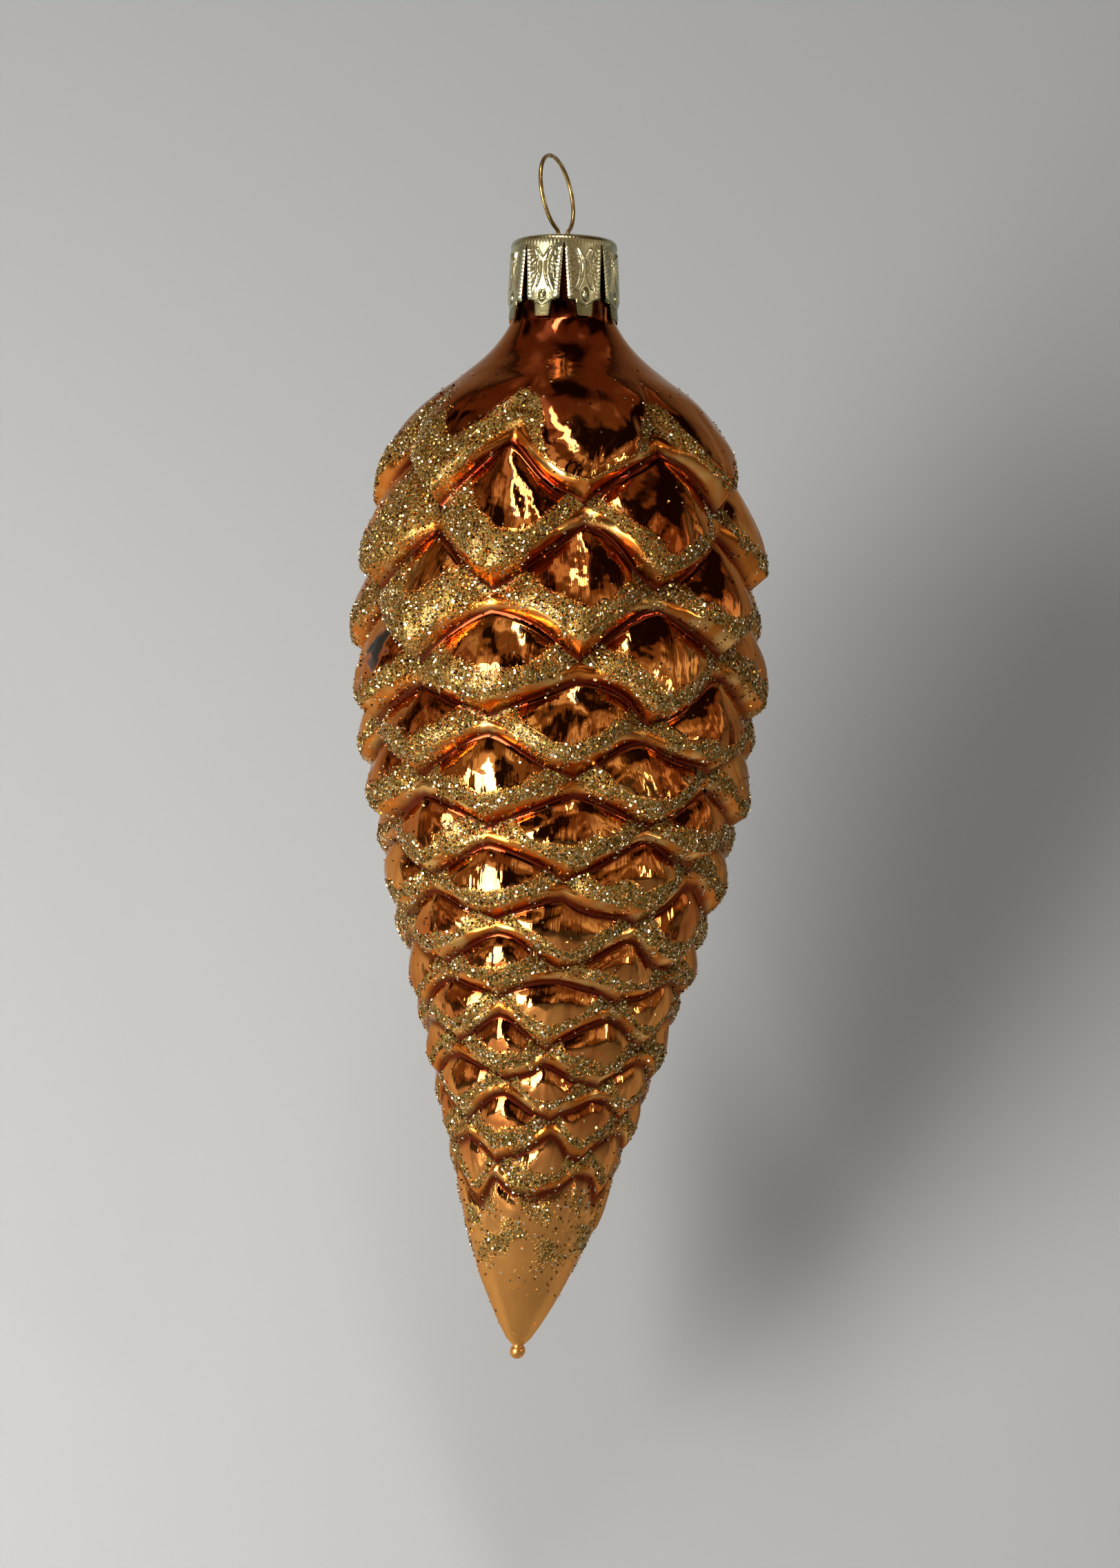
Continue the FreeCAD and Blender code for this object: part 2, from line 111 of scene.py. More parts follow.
glass = {
    "wall": 0.7, "neckRadius": 5.6, "neckFoot": 6.0, "bellyRadius": 22.0,
    "tipDepth": 127.2, "tipRadius": 1.4, "tipDrift": 3.8, "driftStart": 68.0, "driftPower": 1.6,
    "nubRadius": 0.9, "nubWaist": 0.6, "hollowEnd": 125.4,
    "outline": [(0.037, 0.423), (0.088, 0.735), (0.166, 0.895), (0.319, 1.0),
                (0.496, 0.909), (0.699, 0.636), (0.869, 0.377), (0.971, 0.155)],
    "outlineSteps": 3000,
    "scalesPerRing": 7, "ringCount": 15, "firstTipDepth": 30.6,
    "widestPitch": 9.0, "closestPitch": 4.2, "pitchDecay": 0.76,
    "lipRelief": 3.0, "boldestDepth": 42.0, "reliefFade": 72.0,
    "bandBase": 0.55, "bandShare": 0.17, "crownPole": 1.71,
    "twistSettled": 3.0, "twistExtra": 5.5, "twistRun": 20.0,
    "shoulderDepth": 16.5, "plainTipDepth": 115.5,
    "sideSteps": 20,        # faces along each side of a scale
    "bandSteps": 5,         # and across the plain band under its lip
    "flatBand": 0.2,        # height of that band in the flat pattern
    "lipBlur": 1e-4,        # share of the band that still counts as the lip itself
    "crowding": 1.3,        # how much closer its faces lie near the lips
    "neckRows": 5, "shoulderRows": 15, "swellRows": 24,     # points down each stretch
    "fadeRows": 14, "tipRows": 18, "nubRows": 9,
    "hollowDepths": [4, 9.4, 12, 16, 22, 34, 50, 70, 90, 108, 120],
    "swellEarly": 0.4,      # share of the shoulder's swell that comes at once
    "lipSlant": 0.8,        # how far a lip is from a point above it, for each mm of depth
    "noneNear": 9.0,        # mm, said of a lip or crease too far off to matter
    "lipSoftness": 0.3, "lipRounding": 0.8, "softShare": 0.4,   # mm back, and over how much
    "cornerPush": 0.035, "cornerReach": 0.14,   # rounds the corners, as shares of the pitch
    "creaseDepth": 0.45, "creaseWidth": 1.1, "bandCrease": 2.0,     # mm, the groove round a face
    "wander": 0.85, "wanderSize": 15.0, "wanderTurn": 20.0,     # mm that the lattice strays
    "wanderLeast": 5.0, "calmTip": 6.0,
    "flutes": [(17, 40, 0.6), (29, 90, 0.4), (47, 20, 0.3)],    # to the radian, shift, strength
    "fluteDepth": 0.15, "fluteSink": 1.2, "fluteRun": (1.0, 6.0), "fluteShares": (0.05, 0.5),
    "fluteLeast": 0.3, "fluteMore": 0.9, "fanShift": 50,
    "bulgeLeast": 0.93, "bulgeMore": 0.13,      # each scale is blown out by its own amount
    "rippleDepth": 0.13, "rippleSize": 6.0, "rippleStart": 1, "rippleFull": 6,
    "faintRelief": 0.9, "faintStart": 1.2, "faintFade": (108, 120), "faintBare": 4,
    "worn": {"turn": -65, "depth": 47.5, "wide": 6.5, "high": 2.8, "edge": (0.55, 1.0),
             "ragged": 0.35, "raggedSize": 1.6},
}
glitter = {
    "names": ("glitter_upper", "glitter_middle", "glitter_lower"),
    "density": 9.5, "loneDensity": 0.14, "loneDepths": (12, 26),    # flakes to the square mm
    "gathering": 1.5,       # how sharply they thin out with the glue
    "size": (0.22, 0.4), "stretch": (0.6, 1.0), "thickness": 0.05, "lift": (0.02, 0.12),
    "tilt": 0.42, "boxMargin": 0.6,
    # width of the glued strip in mm, from what the scale, its patch and the clumps add
    "lipWidth": 2.0, "tipWidth": 2.4, "sideWidth": 2.6, "sideFrom": 0.4, "leastWidth": 0.3,
    "drawWidth": 2.2, "evenDraw": 0.45, "heavyWidth": 6, "clumpWidth": 0.9, "clumpSize": 4.5,
    "thinning": 0.38, "thinningDepths": (60, 110), "softEdge": (0.45, 1.0),
    "topDepths": (14, 24), "topClump": 3,
    "spill": 1.6, "spillCover": 0.9, "spillClumps": (-0.7, 0.8),    # over the lip, to the band
    "tip": {"from": 108, "depth": 114, "high": 5.5, "cover": 0.85, "clumps": (-0.6, 0.7)},
    # where it lies thickest or thinnest: turn, depth, half-width in degrees, half-height, strength
    "heavyPatches": [(-50, 33, 22, 12, 1.5), (-62, 22, 18, 8, 0.9), (-30, 52, 16, 9, 0.35),
                     (13, 26, 15, 7, -1.2), (-18, 27, 9, 4, -0.6), (65, 30, 22, 8, -0.5),
                     (150, 40, 40, 14, 0.7), (95, 60, 25, 12, 0.3), (-130, 75, 30, 14, 0.4)],
}
capPiece = {
    "height": 9.4, "sheet": 0.3, "clearance": 0.2, "skirtSpring": 0.05, "tabSpring": 0.2,
    "corner": 0.7, "lobes": 8, "slitTop": 1.1, "slitShoulder": 7.5, "slitNarrow": 0.2,
    "slitWide": 1.1, "tabTop": 2.3, "tabFoot": 1.8, "holeRadius": 0.4, "creases": 40,
    "topRings": (0.0, 1.2, 3.0, 4.6), "columns": 44,        # points across, and down each stretch
    "cornerRows": 7, "rimRows": 4, "skirtRows": 54, "tabRows": 17, "shoulderStep": 0.04,
    "knurls": 88, "knurlHeight": 0.035, "knurlDepth": 0.75, "knurlWide": 0.3, "knurlTop": 0.1,
    "rolledEdge": 0.05, "rolledFrom": 0.88,     # the slits' edges turn in a little
}
# the stamped pattern of a lobe: beads down both edges, a lyre of doubled lines under a V, an
# almond boss and the chevron where the tab begins
stamp = {
    "start": (0.95, 1.15), "height": 0.13, "skirt": ((1.4, 1.7), (7.1, 7.4)),
    "beadInset": 0.36, "beadFirst": 1.5, "beadSpacing": 0.44, "beadWide": 1.2, "bead": 0.16,
    "lyreDepth": 3.9, "lyreWaist": 0.27, "lyreBend": 0.108, "lyre": ((1.5, 1.8), (6.2, 6.6)),
    "line": 0.12, "lineGap": 0.36, "innerLine": 0.1, "innerHeight": 0.7,
    "wedgeFoot": 2.95, "wedgeSlope": 0.7, "wedgeLine": 0.13, "wedgeHeight": 0.12,
    "wedge": ((1.7, 1.9), (2.9, 3.1)),
    "bossDepth": 6.95, "bossWide": 0.36, "bossHigh": 0.62, "bossTop": (0.75, 0.2),
    "bossRing": 0.22, "bossRingDepth": 0.7, "bossHeight": 0.14,
    "chevronDepth": 8.25, "chevronSlope": 0.5, "chevronEdge": 0.08,
    "fieldFrom": (0.12, 0.3), "fieldGap": 0.4, "fieldInset": 0.25, "stipple": 0.028,
    "stippleSize": 0.4,
}
wirePiece = {
    "radius": 0.245, "loopRadius": 4.55, "legOffset": 1.4, "bendRadius": 0.7, "legGap": 0.7,
    "legDepth": 8.2, "spreadRadius": 1.5, "straight": 0.5, "endClearance": 0.1,
    "turn": 67.0, "lean": 9.5, "sides": 16, "loopPoints": 97, "bendPoints": 9, "creases": 50,
}


# Small helpers

def linearColour(hexText):
    values = [int(hexText[i:i + 2], 16) / 255 for i in (1, 3, 5)]
    return [v / 12.92 if v <= 0.04045 else ((v + 0.055) / 1.055) ** 2.4 for v in values] + [1.0]


def workOn(*pieces):
    for item in bpy.context.view_layer.objects:
        item.select_set(item in pieces)
    bpy.context.view_layer.objects.active = pieces[0]


def applyAll(piece):
    workOn(piece)
    for modifier in list(piece.modifiers):
        bpy.ops.object.modifier_apply(modifier=modifier.name)


def joinUp(pieces):
    # makes one closed piece of them, facing outwards all over
    workOn(*pieces)
    if len(pieces) > 1:
        bpy.ops.object.join()
    bpy.ops.object.mode_set(mode="EDIT")
    bpy.ops.mesh.select_all(action="SELECT")
    bpy.ops.mesh.remove_doubles(threshold=seamGap)
    bpy.ops.mesh.normals_make_consistent(inside=False)
    bpy.ops.object.mode_set(mode="OBJECT")


def addObject(name, data):
    item = bpy.data.objects.new(name, data)
    bpy.context.collection.objects.link(item)
    return item


def deleteFaces(piece, unwanted):
    workOn(piece)
    bpy.ops.object.mode_set(mode="EDIT")
    bpy.ops.mesh.select_mode(type="FACE")
    bpy.ops.mesh.select_all(action="DESELECT")
    shape = bmesh.from_edit_mesh(piece.data)
    for face, chosen in zip(shape.faces, unwanted):
        face.select = bool(chosen)
    bmesh.update_edit_mesh(piece.data)
    bpy.ops.mesh.delete(type="FACE")
    bpy.ops.object.mode_set(mode="OBJECT")


def coordinates(mesh):
    flat = np.empty(len(mesh.vertices) * 3)
    mesh.vertices.foreach_get("co", flat)
    return flat.reshape(-1, 3)


def cornerVertices(mesh):
    corners = np.empty(len(mesh.loops), np.int64)
    mesh.loops.foreach_get("vertex_index", corners)
    return corners


def cornerValues(mesh, name):
    values = np.empty(len(mesh.loops), np.float32)
    mesh.attributes[name].data.foreach_get("value", values)
    return values


def placeVertices(mesh, points):
    mesh.vertices.foreach_set("co", np.asarray(points, float).ravel())
    mesh.update()


def storeValues(mesh, name, values, domain="CORNER"):
    layer = mesh.attributes.new(name, "FLOAT", domain)
    layer.data.foreach_set("value", np.asarray(values, np.float32))


def smoothStep(low, high, values):
    t = np.clip((values - low) / (high - low), 0, 1)
    return t * t * (3 - 2 * t)


def between(start, end, values):
    return smoothStep(*start, values) * (1 - smoothStep(*end, values))


def waves(points, size, kind):
    # irregular ripples about size mm long, mostly between -1 and 1
    count, seed = waveKinds[kind]
    draw = np.random.default_rng(seed)
    total = np.zeros(len(points))
    for _ in range(count):
        direction = draw.normal(size=points.shape[1])
        stretch = draw.uniform(waveForm["least"], waveForm["most"])
        direction *= 2 * math.pi / size / np.linalg.norm(direction) * stretch
        total += np.sin(points @ direction + draw.uniform(0, 2 * math.pi))
    return total / math.sqrt(count) * waveForm["height"]


def chance(keys, seed, size=997):
    # a steady random number for each whole-number key
    table = np.random.default_rng(seed).random(size)
    return table[np.mod(np.asarray(keys, int), size)]


# Form of the glass, in the same terms as the solid

def outlineTable():
    # the outline's points joined by a smooth curve, as closely spaced depths and radii
    run = glass["tipDepth"] - capPiece["height"]
    points = [(glass["neckFoot"], capPiece["height"])]
    points += [(out * glass["bellyRadius"], capPiece["height"] + down * run)
               for down, out in glass["outline"]]
    points = np.array(points + [(glass["tipRadius"], glass["tipDepth"])])
    steps = np.linalg.norm(np.diff(points, axis=0), axis=1)
    stops = np.concatenate([[0], np.cumsum(steps)])
    count = len(points)
    system, right = np.zeros((count, count)), np.zeros((count, 2))
    for end, near in ((0, slice(0, 4)), (count - 1, slice(count - 1, count - 5, -1))):
        system[end, end] = 1
        right[end] = np.polyfit(stops[near] - stops[end], points[near], 3)[2]
    for i in range(1, count - 1):
        before, after = steps[i - 1], steps[i]
        system[i, i - 1:i + 2] = after, 2 * (before + after), before
        right[i] = 3 * (after * (points[i] - points[i - 1]) / before
                        + before * (points[i + 1] - points[i]) / after)
    slopes = np.linalg.solve(system, right)
    fine = np.linspace(0, stops[-1], glass["outlineSteps"])
    part = np.clip(np.searchsorted(stops, fine) - 1, 0, count - 2)
    size = steps[part][:, None]
    t = ((fine - stops[part]) / steps[part])[:, None]
    curve = ((1 + 2 * t) * (1 - t) ** 2 * points[part] + t * (1 - t) ** 2 * size * slopes[part]
             + t * t * (3 - 2 * t) * points[part + 1] + t * t * (t - 1) * size * slopes[part + 1])
    return curve[:, 1], curve[:, 0]


outlineDepths, outlineRadii = outlineTable()


def grooveRadius(depth):
    return np.interp(depth, outlineDepths, outlineRadii)


def drift(depth):
    run = glass["tipDepth"] - glass["driftStart"]
    power = glass["driftPower"]
    bent = np.clip(depth, glass["driftStart"], glass["plainTipDepth"]) - glass["driftStart"]
    slope = power * glass["tipDrift"] * (bent / run) ** (power - 1) / run
    beyond = np.maximum(0, depth - glass["plainTipDepth"])
    return -glass["tipDrift"] * (bent / run) ** power - slope * beyond


def twist(depth):
    return glass["twistSettled"] + glass["twistExtra"] * np.exp(
        (glass["firstTipDepth"] - depth) / glass["twistRun"])


def relief(depth):
    fade = 1 - np.abs(depth - glass["boldestDepth"]) / glass["reliefFade"]
    return glass["lipRelief"] * np.maximum(0, fade)


def pitch(ring):
    spread = glass["widestPitch"] - glass["closestPitch"]
    return glass["closestPitch"] + spread * glass["pitchDecay"] ** ring


def tipOf(ring):
    if ring < 0:
        return glass["firstTipDepth"] - pitch(ring)
    return glass["firstTipDepth"] + sum(pitch(above) for above in range(ring))


def band(ring):
    return glass["bandBase"] + glass["bandShare"] * pitch(ring)


def sideDepth(ring):
    return tipOf(ring - 1) + band(ring - 1)


def creaseDepth(ring):
    return sideDepth(ring - 1) + band(ring - 1)


def neckRadiusAt(depth):
    share = np.clip((depth - capPiece["sheet"]) / (capPiece["height"] - capPiece["sheet"]), 0, 1)
    ease = np.clip(capPiece["corner"] - depth, 0, 1)
    return glass["neckRadius"] + (glass["neckFoot"] - glass["neckRadius"]) * share - ease


def halfWidth(depth):
    # of a scale whose side corners lie at this depth
    return grooveRadius(depth) * math.pi / glass["scalesPerRing"]


def plainRadius(depth):
    return np.where(depth < capPiece["height"], neckRadiusAt(depth), grooveRadius(depth))


def strayed(column, depth):
    # the lattice strays a little, as blown glass does, and its corners are pushed round
    def field(kind):
        wide = column * 180 / glass["scalesPerRing"]
        reach = glass["wanderTurn"]
        around = np.stack([reach * np.sin(np.radians(wide)), reach * np.cos(np.radians(wide)),
                           depth], 1)
        return glass["wander"] * waves(around, glass["wanderSize"], kind)

    slide, drop = np.zeros(len(depth)), np.zeros(len(depth))
    for ring in range(glass["ringCount"] + 2):
        middle = sideDepth(ring)
        wide = halfWidth(middle)
        nearest = 2 * np.rint((column - ring + 1) / 2) + ring - 1
        across, down = (column - nearest) * wide, depth - middle
        gap = np.hypot(across, down) / (glass["cornerReach"] * 2 * pitch(ring))
        push = glass["cornerPush"] * 2 * pitch(ring) * np.exp(1 - gap ** 1.5) * np.minimum(gap, 1)
        away = np.maximum(np.hypot(across, down), hair)
        slide += push * across / away / wide
        drop += push * down / away
    calm = smoothStep(glass["shoulderDepth"], sideDepth(0), depth)
    end = glass["plainTipDepth"]
    calm = calm * (1 - smoothStep(end - glass["calmTip"], end, depth))
    wide = np.maximum(grooveRadius(depth), glass["wanderLeast"]) * math.pi / glass["scalesPerRing"]
    return (column + calm * (slide + field("slide") / wide),
            depth + calm * (drop + field("drop")))


def onGlass(column, depth, proud):
    angle = np.radians(column * 180 / glass["scalesPerRing"] + twist(depth))
    radius = plainRadius(depth) + proud
    return np.stack([radius * np.sin(angle) + drift(depth), -radius * np.cos(angle), -depth], 1)


# One scale, drawn flat: a diamond with the plain band that steps back under its two lips

def flatScale():
    bandHeight = glass["flatBand"]
    bpy.ops.mesh.primitive_plane_add(size=math.sqrt(2), rotation=(0, 0, math.pi / 4))
    scale = bpy.context.object
    bpy.ops.object.transform_apply(rotation=True)
    bpy.ops.object.mode_set(mode="EDIT")
    bpy.ops.transform.resize(value=(1, 1 - bandHeight, 1))
    selectEdges(lambda middle, along: middle.y < 0)
    down = {"value": (0, -bandHeight, 0)}
    bpy.ops.mesh.extrude_region_move(TRANSFORM_OT_translate=down)
    selectEdges(lambda middle, along: abs(along.x) < hair)
    bpy.ops.mesh.subdivide(number_cuts=glass["bandSteps"] - 1)
    selectEdges(lambda middle, along: abs(along.x) > hair)
    bpy.ops.mesh.subdivide(number_cuts=glass["sideSteps"] - 1)
    bpy.ops.object.mode_set(mode="OBJECT")
    return scale


def selectEdges(wanted):
    bpy.ops.mesh.select_mode(type="EDGE")
    bpy.ops.mesh.select_all(action="DESELECT")
    shape = bmesh.from_edit_mesh(bpy.context.object.data)
    for edge in shape.edges:
        first, last = edge.verts[0].co, edge.verts[1].co
        edge.select = wanted((first + last) / 2, last - first)
    bmesh.update_edit_mesh(bpy.context.object.data)


def patternOfScales():
    # the flat scale repeated round and down, still flat
    scale = flatScale()
    perScale = len(scale.data.vertices)
    for count, offset in ((glass["scalesPerRing"], (2, 0, 0)), (glass["ringCount"], (1, -1, 0))):
        copies = scale.modifiers.new("copies", "ARRAY")
        copies.use_relative_offset = False
        copies.use_constant_offset = True
        copies.constant_offset_displace = offset
        copies.count = count
    applyAll(scale)
    return scale, perScale


def crowd(share):
    # brings the rows of faces closer together towards the lips, to round them
    return 1 - (1 - share) ** glass["crowding"]


def patternPlaces(pattern, perScale):
    # where each point of the flat pattern lies on the cone
    flat = coordinates(pattern.data)
    number = np.arange(len(flat)) // perScale
    ring = number // glass["scalesPerRing"]
    column = 2 * (number % glass["scalesPerRing"]) + ring
    local = np.tile(flat[:perScale, :2], (len(flat) // perScale, 1))
    rings = range(glass["ringCount"])
    top, side, tip, high = (np.array([measure(k) for k in rings])[ring]
                            for measure in (creaseDepth, sideDepth, tipOf, band))
    bandHeight, tall = glass["flatBand"], 1 - glass["flatBand"]
    across, down = local[:, 0], -local[:, 1]
    below = (down - (1 - np.abs(across)) * tall) / bandHeight
    below = np.where(below < glass["lipBlur"], 0, below)
    down = np.where(below > 0, (1 - np.abs(across)) * tall, down)
    right = crowd(np.clip((down / tall + 1 + across) / 2, 0, 1))
    left = crowd(np.clip((down / tall + 1 - across) / 2, 0, 1))
    depth = ((1 - right) * (1 - left) * top + (right + left - 2 * right * left) * side
             + right * left * tip + below * high)
    width = halfWidth(side)
    thick = faceHeight(width, (tip - top) / 2)
    columns = 2 * glass["scalesPerRing"]
    return {
        "column": column + right - left, "depth": depth,
        "share": crownShare(right, left) * (1 - below), "relief": relief(tip),
        "lipGap": np.where(below > 0, below * high, (1 - np.maximum(right, left)) * thick),
        "creaseGap": np.where(below > 0, (1 - below) * high, np.minimum(right, left) * thick),
        "below": below, "fanX": (right - left) * width, "fanY": depth - top,
        "tipness": right * left, "sideness": np.abs(right - left),
        "key": ring * columns + np.mod(column, columns),
    }


def faceHeight(width, height):
    # mm from a crease to the lip opposite
    return 2 * width * height / np.hypot(width, height)


def crownShare(right, left):
    # share of the lip's relief over a scale: none on the creases, all of it at the tip
    r = (1 - right) ** 2, 2 * right * (1 - right), right ** 2
    l = (1 - left) ** 2, 2 * left * (1 - left), left ** 2
    return glass["crownPole"] * r[1] * l[1] + r[1] * l[2] + r[2] * l[1] + r[2] * l[2]


def stripPlaces(kind):
    # rows of points above, below and inside the scales
    steps = glass["sideSteps"]
    columns = np.arange(glass["scalesPerRing"] * 2 * steps + 1) / steps
    slide = crowd(np.abs(np.mod(columns, 2) - 1))
    odd = np.floor(columns / 2) * 2 + 1
    columns = odd + np.where(columns < odd, -slide, slide)
    level = np.ones(len(columns))
    inset, radius = 0.0, None
    share, lipGap, creaseGap, sideness = 0.0, glass["noneNear"], glass["noneNear"], 0.0
    bold = relief(tipOf(0))
    width = halfWidth(sideDepth(0))
    if kind == "upper":
        edge = sideDepth(0) + (tipOf(0) - sideDepth(0)) * slide
        neck, shoulder = capPiece["height"], glass["shoulderDepth"]
        plain = [capPiece["sheet"]]
        plain += list(np.linspace(capPiece["corner"], neck, glass["neckRows"]))
        plain += list(np.linspace(neck, shoulder, glass["shoulderRows"])[1:])
        part = np.linspace(0, 1, glass["swellRows"])[1:, None]
        depth = np.vstack([np.outer(plain, level), shoulder + (edge - shoulder) * part])
        early = glass["swellEarly"]
        swell = early * (2 * part - part ** 2) + (1 - early) * part ** 2 * (3 - 2 * part)
        lip = 1 - (1 - slide) ** 2
        share = np.vstack([np.zeros((len(plain), len(columns))), lip * swell])
        lipGap = (edge - depth) * glass["lipSlant"]
        creaseGap = slide * faceHeight(width, (tipOf(0) - creaseDepth(0)) / 2) + lipGap
        sideness = 1 - slide
    if kind == "lower":
        last = glass["ringCount"]
        edge = creaseDepth(last) + (sideDepth(last) - creaseDepth(last)) * slide
        part = np.linspace(0, 1, glass["fadeRows"])[:, None]
        depth = edge + (glass["plainTipDepth"] - edge) * part
        plain = np.linspace(glass["plainTipDepth"], glass["tipDepth"], glass["tipRows"])[1:]
        waist = glass["tipDepth"] + glass["tipRadius"] - glass["nubWaist"]
        start = math.asin(glass["nubWaist"] / glass["nubRadius"])
        angles = np.linspace(start, math.pi, glass["nubRows"])
        ball = waist + glass["nubRadius"] * (math.cos(start) - np.cos(angles))
        depth = np.vstack([depth, np.outer(np.concatenate([plain, ball]), level)])
        radius = glass["nubRadius"] * np.sin(angles)
        steps = (depth - sideDepth(last)) / pitch(last) + hair
        right, left = np.mod((steps + columns) / 2, 1), np.mod((steps - columns) / 2, 1)
        creaseGap = (depth - edge) * glass["lipSlant"]
        faint = smoothStep(0, glass["faintStart"], depth - edge)
        faint = faint * (1 - smoothStep(*glass["faintFade"], depth))
        share, bold = right * left * faint, glass["faintRelief"]
        lipGap = (1 - np.maximum(right, left)) * pitch(last) + glass["faintBare"] * (1 - faint)
    if kind == "inner":
        rim = [capPiece["sheet"]] * 2
        depth = np.outer(rim + glass["hollowDepths"] + [glass["hollowEnd"]], level)
        inset = glass["wall"]
        radius = np.array([0.0])
    shape = depth.shape
    spread = {"column": np.broadcast_to(columns, shape), "depth": depth,
              "share": np.broadcast_to(share, shape)}
    nearest = np.rint(spread["column"] / 2) * 2
    spread.update({
        "relief": np.full(shape, bold), "lipGap": np.broadcast_to(lipGap, shape),
        "creaseGap": np.broadcast_to(creaseGap, shape), "below": np.zeros(shape),
        "fanX": (spread["column"] - nearest) * width, "fanY": depth - creaseDepth(0),
        "tipness": spread["share"], "sideness": np.broadcast_to(sideness, shape),
        "key": np.mod(nearest, 2 * glass["scalesPerRing"]).astype(int),
        "inset": np.full(shape, inset), "fixed": np.full(shape, -1.0),
    })
    if radius is not None:
        spread["fixed"][-len(radius):] = radius[:, None]
    if kind == "inner":
        spread["fixed"][0] = neckRadiusAt(capPiece["sheet"])
    return spread


def stripMesh(kind):
    places = stripPlaces(kind)
    rows, columns = places["depth"].shape
    bpy.ops.mesh.primitive_grid_add(x_subdivisions=columns - 1, y_subdivisions=rows - 1, size=2)
    strip = bpy.context.object
    strip.name = kind
    flat = coordinates(strip.data)
    x = np.rint((flat[:, 0] + 1) / 2 * (columns - 1)).astype(int)
    y = np.rint((1 - flat[:, 1]) / 2 * (rows - 1)).astype(int)
    return strip, {name: values[y, x] for name, values in places.items()}


def proudOf(places):
    # blown lips are rounded back a little, and flutes fan out from each scale's top corner
    share, onBand, key = places["share"], places["below"] > 0, places["key"]
    soft = glass["lipSoftness"] * smoothStep(0, glass["softShare"], share)
    soft = soft * np.exp(-(places["lipGap"] / glass["lipRounding"]) ** 2)
    reach = np.hypot(places["fanX"], np.maximum(places["fanY"], 0))
    fan = np.arctan2(places["fanX"], np.maximum(places["fanY"], mm))
    draw = chance(key, seeds["flute"])
    flute = sum(np.sin(fan * count + draw * shift) * strength
                for count, shift, strength in glass["flutes"])
    strength = smoothStep(*glass["fluteRun"], reach) * smoothStep(*glass["fluteShares"], share)
    strength = strength * ~onBand * glass["fluteDepth"] * (
        glass["fluteLeast"] + glass["fluteMore"] * chance(key, seeds["fluteStrength"]))
    near = np.where(onBand, glass["bandCrease"], 1.0) * places["creaseGap"] / glass["creaseWidth"]
    groove = glass["creaseDepth"] * np.exp(-near ** 2)
    bulge = glass["bulgeLeast"] + glass["bulgeMore"] * chance(key, seeds["bulge"])
    flutes = (flute - glass["fluteSink"]) * strength
    return places["relief"] * share * bulge - soft - groove + flutes


def layOnGlass(piece, places):
    column, depth = places["column"], places["depth"]
    inset = places.get("inset", 0.0)
    if not np.any(inset):
        column, depth = strayed(column, depth)
    base = onGlass(column, depth, 0.0)
    ripple = glass["rippleDepth"] * (waves(base, glass["rippleSize"], "ripple") - 1)
    ripple = ripple * smoothStep(capPiece["height"] + glass["rippleStart"],
                                 glass["shoulderDepth"] + glass["rippleFull"], depth)
    ripple = ripple * (1 - smoothStep(glass["plainTipDepth"], glass["tipDepth"], depth))
    proud = (proudOf(places) + ripple) * (inset == 0) - inset
    if "fixed" in places:
        proud = np.where(places["fixed"] >= 0, places["fixed"] - plainRadius(depth), proud)
    placeVertices(piece.data, onGlass(column, depth, proud))
    storeCorners(piece.data, places)


def storeCorners(mesh, places):
    # kept by face corner, so that neighbouring scales keep their own values on a shared edge
    corner = cornerVertices(mesh)
    below = places["below"][corner].reshape(-1, 4)
    inside = places.get("inset", np.zeros(len(mesh.vertices))) > 0
    storeValues(mesh, "onBand", np.repeat(below.max(1) > 0, 4))
    storeValues(mesh, "outside", 1.0 - inside[corner])
    storeValues(mesh, "draw", chance(places["key"], seeds["draw"])[corner])
    for name in ("lipGap", "creaseGap", "tipness", "sideness", "depth"):
        storeValues(mesh, name, places[name][corner])
    turn = chance(places["key"], seeds["fan"]) * glass["fanShift"]
    pair = np.stack([places["fanX"] + turn, places["fanY"] + turn], 1)[corner]
    mesh.uv_layers.new(name="fan").data.foreach_set("uv", pair.astype(np.float32).ravel())


def buildGlass():
    print("glass: one flat scale, repeated and wrapped")
    pattern, perScale = patternOfScales()
    layOnGlass(pattern, patternPlaces(pattern, perScale))
    # the first ring's diamonds give way to the swell of the shoulder
    firsts = cornerVertices(pattern.data).reshape(-1, 4)[:, 0]
    onFace = cornerValues(pattern.data, "onBand").reshape(-1, 4)[:, 0] < 0.5
    deleteFaces(pattern, (firsts < perScale * glass["scalesPerRing"]) & onFace)
    strips = []
    for kind in ("upper", "lower", "inner"):
        strip, places = stripMesh(kind)
        layOnGlass(strip, places)
        strips.append(strip)
    joinUp([pattern] + strips)
    pattern.name = pattern.data.name = "glass_skin"
    bpy.ops.object.shade_smooth()
    paintCover(pattern.data)
    return pattern


# Glitter: where it lies, and its flakes

